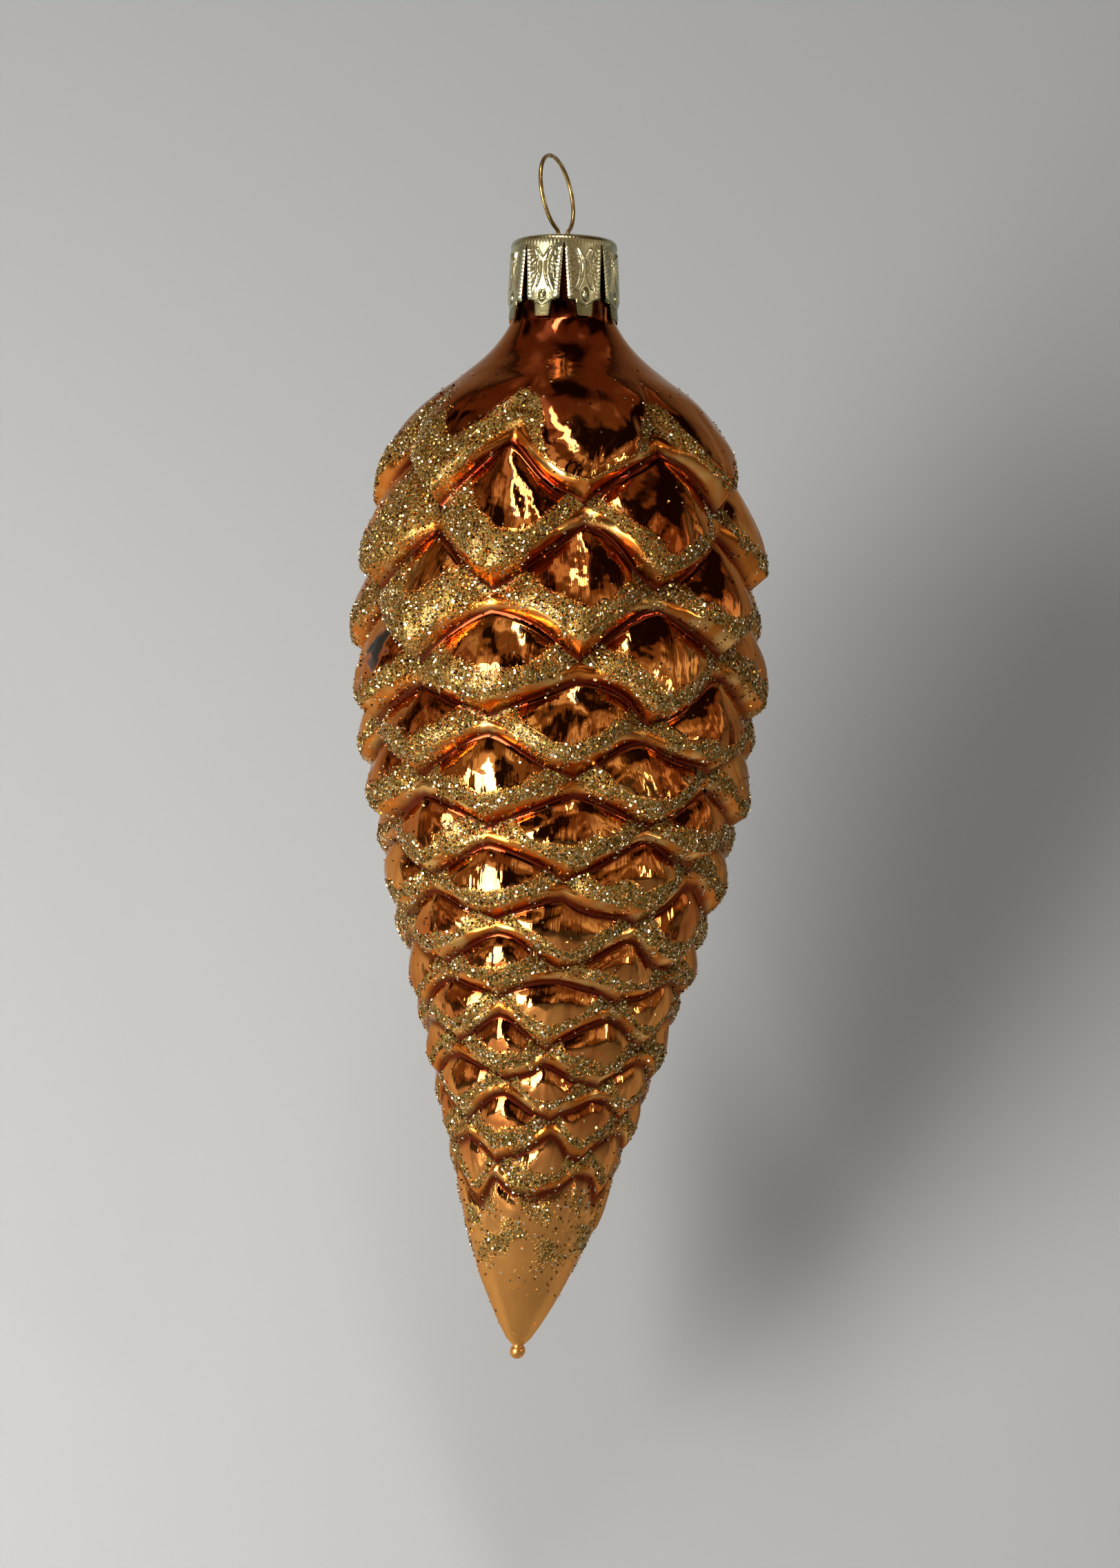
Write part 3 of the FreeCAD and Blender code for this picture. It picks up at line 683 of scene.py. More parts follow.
def paintCover(mesh):
    points = coordinates(mesh)[cornerVertices(mesh)]
    lipGap, onBand, tipness, depth, sideness, draw, outside = (
        cornerValues(mesh, name)
        for name in ("lipGap", "onBand", "tipness", "depth", "sideness", "draw", "outside"))
    angle = np.degrees(np.arctan2(points[:, 0], -points[:, 1]))
    heavy = np.zeros(len(points))
    for turn, deep, wide, high, strength in glitter["heavyPatches"]:
        gap = np.mod(angle - turn + 180, 360) - 180
        heavy += strength * np.exp(-(gap / wide) ** 2 - ((depth - deep) / high) ** 2)
    clump = waves(points, glitter["clumpSize"], "clump")
    width = glitter["lipWidth"] + glitter["tipWidth"] * tipness ** 2
    width = width + glitter["drawWidth"] * (draw - glitter["evenDraw"])
    width = width + glitter["sideWidth"] * smoothStep(glitter["sideFrom"], 1.0, sideness)
    width = width + heavy * glitter["heavyWidth"] + glitter["clumpWidth"] * clump
    width = width * (1 - glitter["thinning"] * smoothStep(*glitter["thinningDepths"], depth))
    across = lipGap / np.maximum(width, glitter["leastWidth"])
    cover = 1 - smoothStep(*glitter["softEdge"], across)
    spill = np.exp(-lipGap / glitter["spill"]) * smoothStep(*glitter["spillClumps"], clump + heavy)
    cover = np.where(onBand > 0.5, glitter["spillCover"] * spill, cover)
    tip = glitter["tip"]
    patch = np.exp(-((depth - tip["depth"]) / tip["high"]) ** 2)
    patch = patch * smoothStep(*tip["clumps"], clump)
    cover = np.where(depth > tip["from"], np.maximum(cover, tip["cover"] * patch), cover)
    top = smoothStep(*glitter["topDepths"], depth + glitter["topClump"] * clump)
    storeValues(mesh, "cover", np.clip(cover * top * outside, 0, 1))
    worn = glass["worn"]
    gap = np.hypot((np.mod(angle - worn["turn"] + 180, 360) - 180) / worn["wide"],
                   (depth - worn["depth"]) / worn["high"])
    gap = gap + worn["ragged"] * waves(points, worn["raggedSize"], "worn")
    storeValues(mesh, "worn", np.clip(1 - smoothStep(*worn["edge"], gap), 0, 1))


def flakeShape():
    # a flake is a tiny square plate
    bpy.ops.mesh.primitive_cylinder_add(vertices=4, radius=0.5, depth=glitter["thickness"])
    flake = bpy.context.object
    points = coordinates(flake.data)
    faces = [list(face.vertices) for face in flake.data.polygons]
    bpy.data.objects.remove(flake)
    return points, faces


def scatterFlakes(mesh):
    mesh.calc_loop_triangles()
    count = len(mesh.loop_triangles)
    corners = np.empty(count * 3, np.int32)
    mesh.loop_triangles.foreach_get("loops", corners)
    a, b, c = np.moveaxis(coordinates(mesh)[cornerVertices(mesh)[corners]].reshape(-1, 3, 3), 1, 0)
    corners = corners.reshape(-1, 3)
    cover = cornerValues(mesh, "cover")[corners].mean(1)
    outside = cornerValues(mesh, "outside")[corners].min(1)
    depth = cornerValues(mesh, "depth")[corners].mean(1)
    cross = np.cross(b - a, c - a)
    area = np.linalg.norm(cross, axis=1) / 2
    normal = cross / np.maximum(area[:, None] * 2, hair * mm)
    lone = glitter["loneDensity"] * smoothStep(*glitter["loneDepths"], depth) * outside
    number = rng.poisson(area * (glitter["density"] * cover ** glitter["gathering"] + lone))
    chosen = np.repeat(np.arange(count), number)
    u, v = rng.random(len(chosen)), rng.random(len(chosen))
    flip = u + v > 1
    u, v = np.where(flip, 1 - u, u), np.where(flip, 1 - v, v)
    place = a[chosen] + u[:, None] * (b - a)[chosen] + v[:, None] * (c - a)[chosen]
    return place, normal[chosen], depth[chosen]


def buildGlitter(skin):
    place, normal, depth = scatterFlakes(skin.data)
    print("glitter:", len(place), "flakes")
    flake, faces = flakeShape()
    count = len(place)
    tilt = normal + rng.normal(size=(count, 3)) * glitter["tilt"]
    tilt /= np.linalg.norm(tilt, axis=1)[:, None]
    side = np.cross(tilt, rng.normal(size=(count, 3)))
    side /= np.linalg.norm(side, axis=1)[:, None]
    other = np.cross(tilt, side)
    size = rng.uniform(*glitter["size"], count)[:, None]
    centre = place + normal * rng.uniform(*glitter["lift"], count)[:, None]
    stretch = rng.uniform(*glitter["stretch"], count)[:, None]
    shade = rng.random(count)
    # none is left sticking out of the solid's own box
    low, high = np.array([list(corner) for corner in cadBox]) / mm - capTop
    margin = glitter["size"][1] * glitter["boxMargin"]
    inside = ((centre > low + margin) & (centre < high - margin)).all(1)
    order = np.argsort(depth, kind="stable")
    pieces = []
    shares = np.array_split(order[inside[order]], len(glitter["names"]))
    for name, share in zip(glitter["names"], shares):
        corners = (centre[share, None] + flake[None, :, 0:1] * (side * size)[share, None]
                   + flake[None, :, 1:2] * (other * size * stretch)[share, None]
                   + flake[None, :, 2:3] * tilt[share, None])
        mesh = bpy.data.meshes.new(name)
        every = [[v + i * len(flake) for v in face]
                 for i in range(len(share)) for face in faces]
        mesh.from_pydata(corners.reshape(-1, 3), [], every)
        storeValues(mesh, "shade", np.repeat(shade[share], len(flake)), "POINT")
        pieces.append(addObject(name, mesh))
    return pieces


# Cap: one lobe of the stamped sheet, embossed and repeated round

def skirtRadius(depth):
    spring = np.interp(depth, [capPiece["sheet"], capPiece["slitShoulder"], capPiece["height"]],
                       [0, capPiece["skirtSpring"], capPiece["tabSpring"]])
    share = (depth - capPiece["sheet"]) / (capPiece["height"] - capPiece["sheet"])
    neck = glass["neckRadius"] + (glass["neckFoot"] - glass["neckRadius"]) * share
    return neck + capPiece["clearance"] + capPiece["sheet"] + spring


def lobeHalfWidth(depth):
    lobePitch = 2 * math.pi * skirtRadius(capPiece["height"]) / capPiece["lobes"]
    shoulder = capPiece["slitShoulder"]
    skirt = (lobePitch - np.interp(depth, [capPiece["slitTop"], shoulder],
                                   [capPiece["slitNarrow"], capPiece["slitWide"]])) / 2
    tab = np.interp(depth, [shoulder, capPiece["height"]],
                    [capPiece["tabTop"], capPiece["tabFoot"]]) / 2
    return np.where(depth > shoulder + hair, tab, skirt)


def ridge(gap, width):
    return np.exp(-(gap / width) ** 2)


def embossing(x, depth):
    # height of the stamped pattern, x mm from the middle of a lobe
    s, side = stamp, np.abs(x)
    edge = lobeHalfWidth(np.minimum(depth, capPiece["slitShoulder"])) - s["beadInset"]
    skirt = between(*s["skirt"], depth)
    along = np.mod(depth - s["beadFirst"], s["beadSpacing"]) - s["beadSpacing"] / 2
    beads = ridge(np.hypot((side - edge) / s["beadWide"], along), s["bead"]) * skirt
    bow = s["lyreWaist"] + s["lyreBend"] * (depth - s["lyreDepth"]) ** 2
    lines = ridge(side - bow, s["line"])
    lines = lines + s["innerHeight"] * ridge(side - bow - s["lineGap"], s["innerLine"])
    lines = lines * between(*s["lyre"], depth)
    wedge = ridge(side - s["wedgeSlope"] * (s["wedgeFoot"] - depth), s["wedgeLine"])
    wedge = wedge * between(*s["wedge"], depth)
    almond = np.hypot(x / s["bossWide"], (depth - s["bossDepth"]) / s["bossHigh"])
    boss = smoothStep(*s["bossTop"], almond)
    boss = boss - s["bossRingDepth"] * ridge(almond - 1, s["bossRing"])
    chevron = smoothStep(-s["chevronEdge"], s["chevronEdge"],
                         depth - s["chevronDepth"] + s["chevronSlope"] * side)
    field = smoothStep(*s["fieldFrom"], side - bow - s["fieldGap"]) * skirt
    field = field * (side < edge - s["fieldInset"])
    pairs = np.stack([x, depth], -1).reshape(-1, 2)
    stipple = waves(pairs, s["stippleSize"], "stipple").reshape(x.shape) * field
    return (s["height"] * (beads + lines - chevron) + s["wedgeHeight"] * wedge
            + s["bossHeight"] * boss + s["stipple"] * stipple)


def capStations():
    # radius and depth of each row of points, from the middle of the top out and down
    corner, rim = capPiece["corner"], skirtRadius(capPiece["sheet"])
    rows = [(radius, 0.0) for radius in capPiece["topRings"]]
    for angle in np.linspace(0, math.pi / 2, capPiece["cornerRows"]):
        rows.append((rim - corner * (1 - math.sin(angle)), corner * (1 - math.cos(angle))))
    top, shoulder = capPiece["slitTop"], capPiece["slitShoulder"]
    depths = list(np.linspace(corner, top, capPiece["rimRows"])[1:])
    depths += list(np.linspace(top, shoulder, capPiece["skirtRows"])[1:])
    depths += list(np.linspace(shoulder + capPiece["shoulderStep"], capPiece["height"],
                               capPiece["tabRows"]))
    rows += [(float(skirtRadius(depth)), float(depth)) for depth in depths]
    return np.array(rows)


def turned(points, angle):
    cosine, sine = math.cos(angle), math.sin(angle)
    return np.stack([points[:, 0] * cosine - points[:, 1] * sine,
                     points[:, 0] * sine + points[:, 1] * cosine, points[:, 2]], 1)


def capLobe():
    # one eighth of the sheet, from the middle of one slit to the next
    stations, columns, slitTop = capStations(), capPiece["columns"], capPiece["slitTop"]
    total, last = columns + 2, len(stations) - 1
    bpy.ops.mesh.primitive_grid_add(x_subdivisions=total, y_subdivisions=last, size=2)
    lobe = bpy.context.object
    lobe.name = lobe.data.name = "stamped_cap"
    flat = coordinates(lobe.data)
    across = np.rint((flat[:, 0] + 1) / 2 * total).astype(int)
    radius, depth = stations[np.rint((1 - flat[:, 1]) / 2 * last).astype(int)].T
    half = math.pi / capPiece["lobes"]
    limit = lobeHalfWidth(np.maximum(depth, slitTop)) / skirtRadius(capPiece["height"])
    share = (across - 1) / columns * 2 - 1
    angle = np.where(across == 0, -half, np.where(across == total, half, limit * share))
    height = embossing(angle * radius, depth) * smoothStep(*stamp["start"], depth)
    knurl = capPiece["knurlHeight"] * np.sin(angle * capPiece["knurls"])
    knurl = knurl * ridge(depth - capPiece["knurlDepth"], capPiece["knurlWide"])
    knurl = knurl * (depth > capPiece["knurlTop"])
    rolled = capPiece["rolledEdge"] * smoothStep(capPiece["rolledFrom"], 1.0, np.abs(share))
    radius = radius + height + knurl - rolled * (depth > slitTop)
    angle = angle + half
    points = np.stack([radius * np.sin(angle), -radius * np.cos(angle), -depth], 1)
    placeVertices(lobe.data, points)
    # the stamping's height, which the cap's colour follows as a painted highlight on the raised
    # parts
    storeValues(lobe.data, "height", height / stamp["height"], "POINT")
    corners = cornerVertices(lobe.data).reshape(-1, 4)
    atSlit = ((across[corners] == 0) | (across[corners] == total)).any(1)
    deleteFaces(lobe, atSlit & (points[corners, 2].min(1) < -slitTop - mm))
    return lobe


def buildCap():
    print("cap: one embossed lobe, repeated round")
    cap = capLobe()
    own = coordinates(cap.data)
    copies = [cap]
    for number in range(1, capPiece["lobes"]):
        copies.append(addObject("lobe", cap.data.copy()))
        placeVertices(copies[-1].data, turned(own, number * 2 * math.pi / capPiece["lobes"]))
    joinUp(copies)
    sheet = cap.modifiers.new("sheet", "SOLIDIFY")
    sheet.thickness = capPiece["sheet"]
    sheet.offset = -1
    legs = np.array([[-wirePiece["legOffset"], 0, 0], [wirePiece["legOffset"], 0, 0]])
    cutters = []
    for place in turned(legs, math.radians(wirePiece["turn"])):
        bpy.ops.mesh.primitive_cylinder_add(radius=capPiece["holeRadius"], depth=2, location=place)
        cutters.append(bpy.context.object)
        cap.modifiers.new("hole", "BOOLEAN").object = cutters[-1]
    applyAll(cap)
    for cutter in cutters:
        bpy.data.objects.remove(cutter)
    bpy.ops.object.shade_smooth_by_angle(angle=math.radians(capPiece["creases"]))
    return cap


# Wire loop

def buildWire():
    print("wire: loop and legs")
    w = wirePiece
    bend = np.array([w["legOffset"] + w["bendRadius"], w["legGap"]])
    reach = w["loopRadius"] + w["bendRadius"]
    middle = np.array([0, w["legGap"] + math.sqrt(reach ** 2 - bend[0] ** 2)])
    start = math.atan2(bend[1] - middle[1], bend[0] - middle[0])
    turns = np.linspace(start, math.pi - start, w["loopPoints"])
    loop = arcPoints(middle, w["loopRadius"], turns)
    path = legPath(1, bend, start)[::-1] + loop + [p * (-1, 1) for p in legPath(-1, bend, start)]
    across, z = np.array(path).T
    turn, lean = math.radians(w["turn"]), math.radians(w["lean"])
    x, y = across * math.cos(turn), across * math.sin(turn)
    points = np.stack([x * math.cos(lean) - z * math.sin(lean), y,
                       x * math.sin(lean) + z * math.cos(lean)], 1)
    curve = bpy.data.curves.new("wire_line", "CURVE")
    curve.dimensions = "3D"
    line = curve.splines.new("POLY")
    line.points.add(len(points) - 1)
    for point, place in zip(line.points, points):
        point.co = (*place, 1)
    curve.bevel_depth = w["radius"]
    curve.bevel_resolution = w["sides"] // 2 - 2
    curve.use_fill_caps = True
    workOn(addObject("wire_loop", curve))
    bpy.ops.object.convert(target="MESH")
    wire = bpy.context.object
    joinUp([wire])
    bpy.ops.object.shade_smooth_by_angle(angle=math.radians(w["creases"]))
    return wire


def arcPoints(middle, radius, angles):
    return [middle + radius * np.array([math.cos(a), math.sin(a)]) for a in angles]


def legPath(side, bend, start):
    # from the loop down through the cap to the leg's end, in the wire's own plane
    w = wirePiece
    turn, lean = math.radians(w["turn"]), math.radians(w["lean"])
    neck = float(neckRadiusAt(np.float64(w["legDepth"]))) - glass["wall"]
    far = neck - w["radius"] - w["endClearance"]
    swing = w["legDepth"] * math.sin(lean)
    square = (math.cos(turn) * math.cos(lean)) ** 2 + math.sin(turn) ** 2
    linear = side * math.cos(turn) * math.cos(lean) * swing
    spread = (math.sqrt(linear ** 2 + square * (far ** 2 - swing ** 2)) - linear) / square
    turns = np.linspace(start + math.pi, math.pi, w["bendPoints"])
    arc = arcPoints(bend, w["bendRadius"], turns)
    hang = np.array([w["legOffset"], -capPiece["sheet"] - w["straight"]])
    middle = hang + np.array([w["spreadRadius"], 0])
    end = np.array([spread, -w["legDepth"]])
    away = end - middle
    opening = math.acos(w["spreadRadius"] / np.linalg.norm(away))
    leave = math.atan2(away[1], away[0]) - opening
    leave = leave if leave < 0 else leave - 2 * math.pi
    turns = np.linspace(-math.pi, leave, w["bendPoints"])
    return arc[1:] + arcPoints(middle, w["spreadRadius"], turns) + [end]


# Materials

def addNode(tree, kind, inputs=None, take=0, **settings):
    # one node with its settings and links, handed on as the output that the next one takes
    node = tree.nodes.new("ShaderNode" + kind)
    for name, value in settings.items():
        setattr(node, name, value)
    for name, value in (inputs or {}).items():
        if isinstance(value, bpy.types.NodeSocket):
            tree.links.new(value, node.inputs[name])
        else:
            node.inputs[name].default_value = value
    return node.outputs[take] if len(node.outputs) else node


def newMaterial(name):
    material = bpy.data.materials.new(name)
    material.use_nodes = True
    material.node_tree.nodes.clear()
    return material, material.node_tree


def layColours(tree, base, layers):
    # each colour over the last, as strongly as what it follows says: none of it up to the first
    # number, and from the second on as much as the third
    for follows, low, high, strength, colour in layers:
        amount = addNode(tree, "MapRange", {"Value": follows, "From Min": low, "From Max": high,
                                            "To Max": strength}, interpolation_type="SMOOTHSTEP")
        # the mixer's colours go by number, because its sockets share their names
        base = addNode(tree, "Mix", {0: amount, 6: base, 7: colour}, 2, data_type="RGBA")
    return base


lacquer = {
    "copper": "#e8994c",       # where the lacquer lies evenly over the silvering
    "thick": "#b04e1d",        # pooled, in patches
    "shoulder": "#86301a",     # painted dark reflection, darker red round the shoulder and neck
    "neck": "#2a0f07",         # under the cap, where the silvering stops, painted near-black as the shade there
    "creaseShade": "#661405",          # painted shade, dark red along the creases
    "amber": "#dc7e2e",        # thinner, on the bands under the lips
    "cream": "#f2b868",        # thinnest, here and there on the bands
    "tip": "#f0ac5a",          # and over the plain tip
    "dust": "#937a3c",         # the finest glitter, between the flakes
    "bare": "#0d0c0a",         # silvering lost
    "edge": "#ecd2b4",         # what the mirror shows where the eye grazes it
    "roughness": 0.045, "bandRoughness": 0.2, "tipRoughness": 0.3, "dustRoughness": 0.5,
    "shoulderRoughness": 0.075,
    "streakSize": (1.1, 9.0),  # mm across and along a streak
    "grains": {"patches": (9, 2), "thin": (3, 1), "grit": (0.3, 1), "ripple": (2.4, 1.5)},
    "rippleDepth": 0.16, "streakDepth": 0.07, "gritDepth": 0.1,
    "coat": 0.12, "coatRoughness": 0.03,
}


def lacqueredGlass():
    # Silvered blown glass under sprayed amber lacquer: a mirror, tinted copper, whose colour
    # deepens where the lacquer pooled, with painted shade in the creases and on the neck under the
    # cap and a painted dark reflection round the shoulder, and whose reflections break up in the
    # mould's fine ripples.
    material, tree = newMaterial("silvered_glass_amber_lacquer")
    tint = {name: linearColour(value) for name, value in lacquer.items() if isinstance(value, str)}
    place = addNode(tree, "TexCoord", take="Object")
    marks = {name: addNode(tree, "Attribute", take="Fac", attribute_name=name)
             for name in ("onBand", "creaseGap", "cover", "worn", "draw", "depth")}
    grains = {name: addNode(tree, "TexNoise", {"Vector": place, "Scale": 1 / (size * mm),
                                               "Detail": detail})
              for name, (size, detail) in lacquer["grains"].items()}
    wide, long = lacquer["streakSize"]
    fan = addNode(tree, "Mapping", {"Vector": addNode(tree, "UVMap", uv_map="fan"),
                                    "Scale": (1 / wide, 1 / long, 1)})
    streaks = addNode(tree, "TexNoise", {"Vector": fan, "Scale": 1.0, "Detail": 3.0,
                                         "Roughness": 0.55})
    # strengths that the lines below follow: by what, from where, to where, from what, to what
    shares = {}
    for name, follows, low, high, least, most in (
            ("covered", marks["cover"], 0.2, 0.8, 0.0, 1.0),
            ("gritty", grains["grit"], 0.35, 0.55, 0.0, 1.0),
            ("rippled", marks["depth"], 14.0, 34.0, 0.35, 1.0),
            ("streaked", marks["depth"], 20.0, 36.0, 0.05, 1.0),
            ("untipped", marks["depth"], 118.0, 106.0, 0.15, 1.0),
            ("offBand", marks["onBand"], 0.0, 1.0, 1.0, 0.15),
            ("silvered", marks["worn"], 0.2, 0.8, 1.0, 0.0),
            ("bandGloss", marks["onBand"], 0.0, 1.0, lacquer["roughness"],
             lacquer["bandRoughness"]),
            ("tipGloss", marks["depth"], 106.0, 117.0, 0.0, lacquer["tipRoughness"]),
            ("shoulderGloss", marks["depth"], 36.0, 18.0, 0.0, lacquer["shoulderRoughness"])):
        shares[name] = addNode(tree, "MapRange", {
            "Value": follows, "From Min": low, "From Max": high, "To Min": least,
            "To Max": most}, interpolation_type="SMOOTHSTEP")
    for name, kind, first, second in (
            ("dust", "MULTIPLY", "covered", "gritty"), ("dustGrain", "MULTIPLY", "dust", "gritty"),
            ("streaked", "MULTIPLY", "streaked", "offBand"),
            ("streaked", "MULTIPLY", "streaked", "untipped"),
            ("smooth", "MAXIMUM", "bandGloss", "tipGloss"),
            ("smooth", "MAXIMUM", "smooth", "shoulderGloss")):
        shares[name] = addNode(tree, "Math", {0: shares[first], 1: shares[second]}, operation=kind)
    bandTone = layColours(tree, tint["amber"], [(grains["thin"], 0.45, 0.7, 1.0, tint["cream"])])
    neck = capPiece["height"]
    base = layColours(tree, tint["copper"], [
        (grains["patches"], 0.38, 0.72, 0.8, tint["thick"]),
        (streaks, 0.45, 0.75, 0.6, tint["thick"]),
        (marks["draw"], 0.4, 1.0, 0.4, tint["thick"]),
        # painted dark reflection: darker red towards the shoulder
        (marks["depth"], 36.0, 16.0, 0.85, tint["shoulder"]),
        (marks["depth"], 100.0, 116.0, 0.7, tint["tip"]),
        (marks["onBand"], 0.0, 1.0, 1.0, bandTone),
        # painted shade: near-black on the unsilvered neck under the cap
        (marks["depth"], neck + 0.8, neck - 0.8, 0.9, tint["neck"]),
        # painted shade: dark red close to each crease
        (marks["creaseGap"], 0.95, 0.15, 0.95, tint["creaseShade"]),
        (shares["dust"], 0.0, 1.0, 1.0, tint["dust"]),
        (marks["worn"], 0.0, 1.0, 1.0, tint["bare"])])
    dull = addNode(tree, "Math", {0: shares["dust"], 1: marks["worn"]}, operation="MAXIMUM")
    rough = addNode(tree, "MapRange", {"Value": dull, "To Min": shares["smooth"],
                                       "To Max": lacquer["dustRoughness"]})
    normal = addNode(tree, "Bump", {"Height": grains["ripple"], "Strength": shares["rippled"],
                                    "Distance": lacquer["rippleDepth"] * mm})
    for height, depth, strength in ((streaks, lacquer["streakDepth"], shares["streaked"]),
                                    (shares["dustGrain"], lacquer["gritDepth"], 1.0)):
        normal = addNode(tree, "Bump", {"Height": height, "Distance": depth * mm,
                                        "Strength": strength, "Normal": normal})
    surface = addNode(tree, "BsdfPrincipled", {
        "Base Color": base, "Metallic": shares["silvered"], "Roughness": rough, "Normal": normal,
        "Specular Tint": tint["edge"], "Coat Weight": lacquer["coat"],
        "Coat Roughness": lacquer["coatRoughness"]})
    addNode(tree, "OutputMaterial", {"Surface": surface})
    return material


metals = {
    # Cut metallised film: flat, mirror-bright plates, each at its own angle and of its own gold.
    "cut_metallised_film_glitter": {
        "marks": ["shade"], "base": "#5c421a", "roughness": 0.22,
        "layers": [("shade", 0.0, 0.3, 1.0, "#94783a"), ("shade", 0.3, 0.62, 1.0, "#cdb97e"),
                   ("shade", 0.62, 0.9, 1.0, "#fff6da")]},
    # Tinplate stamped and gold-lacquered, greenish gold; its raised stamping is painted pale as a
    # painted highlight, and its hollows stay browner as painted shade.
    "stamped_tinplate_gold_lacquer": {
        "marks": ["height"], "base": "#8b8560", "stain": (2.2, 0.19, 0.33), "grain": (0.3, 0.012),
        # painted highlight: paler where the stamping is raised, with painted shade in the hollows
        "layers": [("height", -0.6, 0.7, 1.0, "#e4e0b8"), ("stain", 0.45, 0.75, 0.35, "#8f8858")]},
    # Drawn brass-plated wire: darkened here and there, with a soft drawn gloss.
    "drawn_brass_plated_wire": {
        "marks": [], "base": "#c9ad72", "stain": (1.4, 0.2, 0.38),
        "layers": [("stain", 0.35, 0.7, 1.0, "#86683a")]},
}


def metal(name):
    look = metals[name]
    material, tree = newMaterial(name)
    marks = {mark: addNode(tree, "Attribute", take="Fac", attribute_name=mark)
             for mark in look["marks"]}
    finish = {"Metallic": 1.0}
    if "roughness" in look:
        finish["Roughness"] = look["roughness"]
    if "stain" in look:
        # patches of this size, glossy where clean and duller where stained
        size, glossy, dull = look["stain"]
        place = addNode(tree, "TexCoord", take="Object")
        marks["stain"] = addNode(tree, "TexNoise", {"Vector": place, "Scale": 1 / (size * mm),
                                                    "Detail": 3.0})
        finish["Roughness"] = addNode(tree, "MapRange", {
            "Value": marks["stain"], "From Min": 0.3, "From Max": 0.7, "To Min": glossy,
            "To Max": dull})
    if "grain" in look:
        size, deep = look["grain"]
        grain = addNode(tree, "TexNoise", {"Vector": place, "Scale": 1 / (size * mm)})
        finish["Normal"] = addNode(tree, "Bump", {"Height": grain, "Distance": deep * mm})
    finish["Base Color"] = layColours(tree, linearColour(look["base"]), [
        (marks[follows], low, high, strength, linearColour(colour))
        for follows, low, high, strength, colour in look["layers"]])
    addNode(tree, "OutputMaterial", {"Surface": addNode(tree, "BsdfPrincipled", finish)})
    return material


# Stage, light and camera

stageSizes = {
    "backdropFoot": 0.035,     # distance behind the object's middle, level with its tip
    "backdropLean": 28.0,      # degrees, its top away from the camera
    "paperSize": 4.0, "floorDrop": 0.2, "paper": "#b2b5b9", "roughness": 0.9,
}
# the room all round, as the glass mirrors it: dark fittings, warm walls and paler patches
room = {"dark": "#20160d", "warm": "#84694c", "warmFrom": (0.40, 0.52), "pale": "#f2e8d4",
        "paleFrom": (0.55, 0.68), "patch": 2.1, "detail": 1.2, "even": "#50504e"}
# all aim at a place this far under the loop; azimuth 0 is in front, and grows to the right
lampAim = 0.07
lamps = {
    "window": {"azimuth": -43, "elevation": 1, "distance": 0.4, "size": (0.18, 0.24),
               "watts": 2.2, "roll": 0, "colour": "#fffaf2"},
    "ceiling": {"azimuth": -10, "elevation": 64, "distance": 0.8, "size": (0.09, 0.4),
                "watts": 1.7, "roll": 38, "colour": "#fffaf2"},
    "far_window": {"azimuth": 58, "elevation": 6, "distance": 0.9, "size": (0.05, 0.2),
                   "watts": 0.5, "roll": 0, "colour": "#fff6ea"},
}
lens = {"sensor": 36, "angle": 25.6, "distance": 0.4, "right": 0.27, "below": 62.9, "roll": 0.7}


def mattPaper(name, clearBehind):
    # uncoated paper, matt; seen from behind the backdrop is clear, so that it hides nothing there
    material, tree = newMaterial(name)
    surface = addNode(tree, "BsdfPrincipled", {"Base Color": linearColour(stageSizes["paper"]),
                                               "Roughness": stageSizes["roughness"]})
    if clearBehind:
        behind = addNode(tree, "NewGeometry", take="Backfacing")
        clear = addNode(tree, "BsdfTransparent")
        surface = addNode(tree, "MixShader", {0: behind, 1: surface, 2: clear})
    addNode(tree, "OutputMaterial", {"Surface": surface})
    return material


def addPaper(name, clearBehind, **placing):
    bpy.ops.mesh.primitive_plane_add(size=stageSizes["paperSize"], **placing)
    paper = bpy.context.object
    paper.name = name
    paper.data.materials.append(mattPaper(name + "_paper", clearBehind))
    return paper


def buildStage():
    foot = (0, stageSizes["backdropFoot"], (capTop[2] - glass["tipDepth"]) * mm)
    lean = math.pi / 2 - math.radians(stageSizes["backdropLean"])
    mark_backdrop(addPaper("backdrop", True, rotation=(lean, 0, 0), location=foot),
             addPaper("floor", False, location=(0, 0, -stageSizes["floorDrop"])))


def buildWorld():
    world = bpy.data.worlds.new("room")
    bpy.context.scene.world = world
    world.use_nodes = True
    tree = world.node_tree
    tree.nodes.clear()
    way = addNode(tree, "TexCoord", take="Generated")
    patches = addNode(tree, "TexNoise", {"Vector": way, "Scale": room["patch"],
                                         "Detail": room["detail"]})
    mirrored = layColours(tree, linearColour(room["dark"]), [
        (patches, *room["warmFrom"], 1.0, linearColour(room["warm"])),
        (patches, *room["paleFrom"], 1.0, linearColour(room["pale"]))])
    glossy = addNode(tree, "LightPath", take="Is Glossy Ray")
    seen = addNode(tree, "LightPath", take="Is Camera Ray")
    tone = layColours(tree, linearColour(room["even"]), [
        (glossy, 0.0, 1.0, 1.0, mirrored),
        (seen, 0.0, 1.0, 1.0, linearColour(stageSizes["paper"]))])
    addNode(tree, "OutputWorld", {"Surface": addNode(tree, "Background", {"Color": tone})})


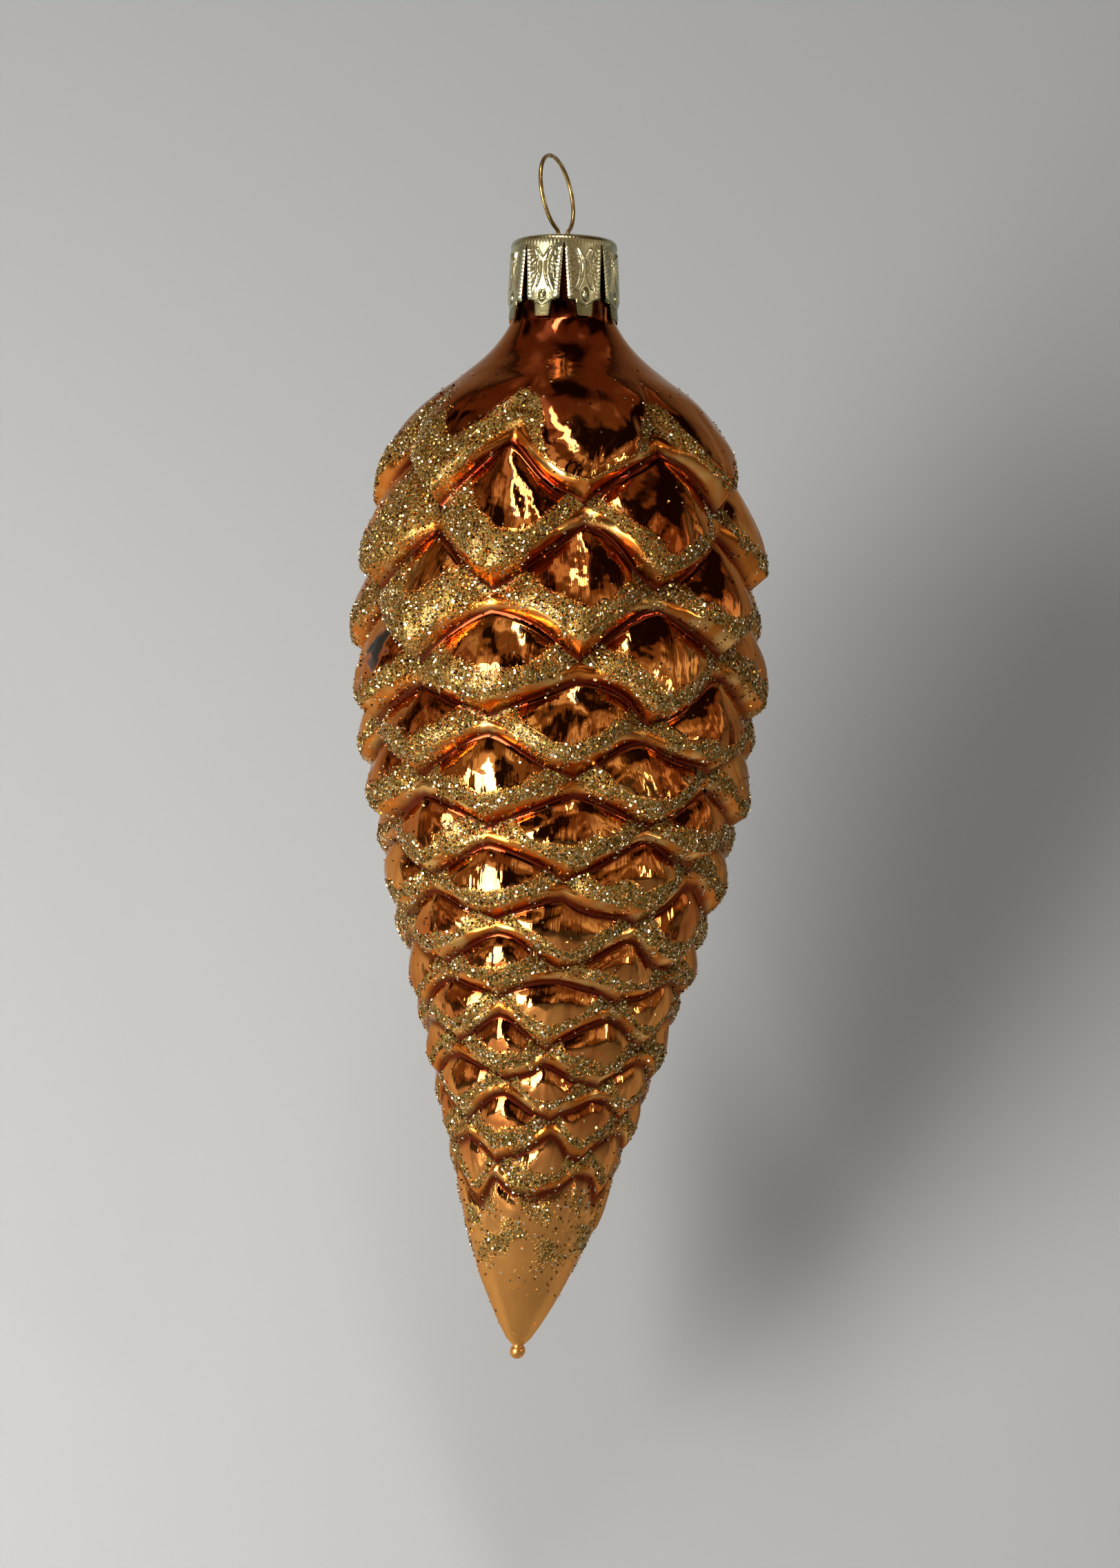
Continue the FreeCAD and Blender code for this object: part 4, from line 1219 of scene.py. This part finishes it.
def buildLights():
    for name, lamp in lamps.items():
        turn, rise = math.radians(lamp["azimuth"]), math.radians(lamp["elevation"])
        way = np.array([math.sin(turn) * math.cos(rise), -math.cos(turn) * math.cos(rise),
                        math.sin(rise)])
        data = bpy.data.lights.new(name, "AREA")
        data.shape = "RECTANGLE"
        data.size, data.size_y = lamp["size"]
        data.energy = lamp["watts"]
        data.color = linearColour(lamp["colour"])[:3]
        light = addObject(name, data)
        light.location = np.array([0, 0, -lampAim]) + way * lamp["distance"]
        facing = Euler((math.pi / 2 - rise, 0, turn)).to_matrix()
        roll = Matrix.Rotation(math.radians(lamp["roll"]), 3, "Z")
        light.rotation_euler = (facing @ roll).to_euler()


def buildCamera():
    data = bpy.data.cameras.new("camera")
    data.sensor_width = lens["sensor"]
    data.lens = lens["sensor"] / 2 / math.tan(math.radians(lens["angle"] / 2))
    camera = addObject("camera", data)
    camera.location = ((capTop[0] + lens["right"]) * mm, -lens["distance"],
                       (capTop[2] - lens["below"]) * mm)
    camera.rotation_euler = (math.pi / 2, -math.radians(lens["roll"]), 0)
    bpy.context.scene.camera = camera
    bpy.context.scene.view_settings.view_transform = "Standard"


# Put it all together

def settle(piece, material, slotName, *nodes):
    # from drawing millimetres about the cap's top to the frame's metres
    points = (coordinates(piece.data) + capTop) * mm
    placeVertices(piece.data, np.clip(points, *cadBox))
    piece.data.materials.clear()
    piece.data.materials.append(material)
    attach(piece, "root")
    if nodes:
        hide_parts(*nodes)


skin = buildGlass()
flakes = buildGlitter(skin)
cap = buildCap()
wire = buildWire()
settle(skin, lacqueredGlass(), "lacquered_glass", "glass_cone")
film = metal("cut_metallised_film_glitter")
for piece in flakes:
    settle(piece, film, "lacquered_glass")
settle(cap, metal("stamped_tinplate_gold_lacquer"), "cap_metal", "cap")
settle(wire, metal("drawn_brass_plated_wire"), "spring_wire", "hanger_wire")
buildStage()
buildWorld()
buildLights()
buildCamera()
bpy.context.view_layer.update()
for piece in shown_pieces():
    piece.data.calc_loop_triangles()
    print(piece.name, len(piece.data.loop_triangles), "triangles")
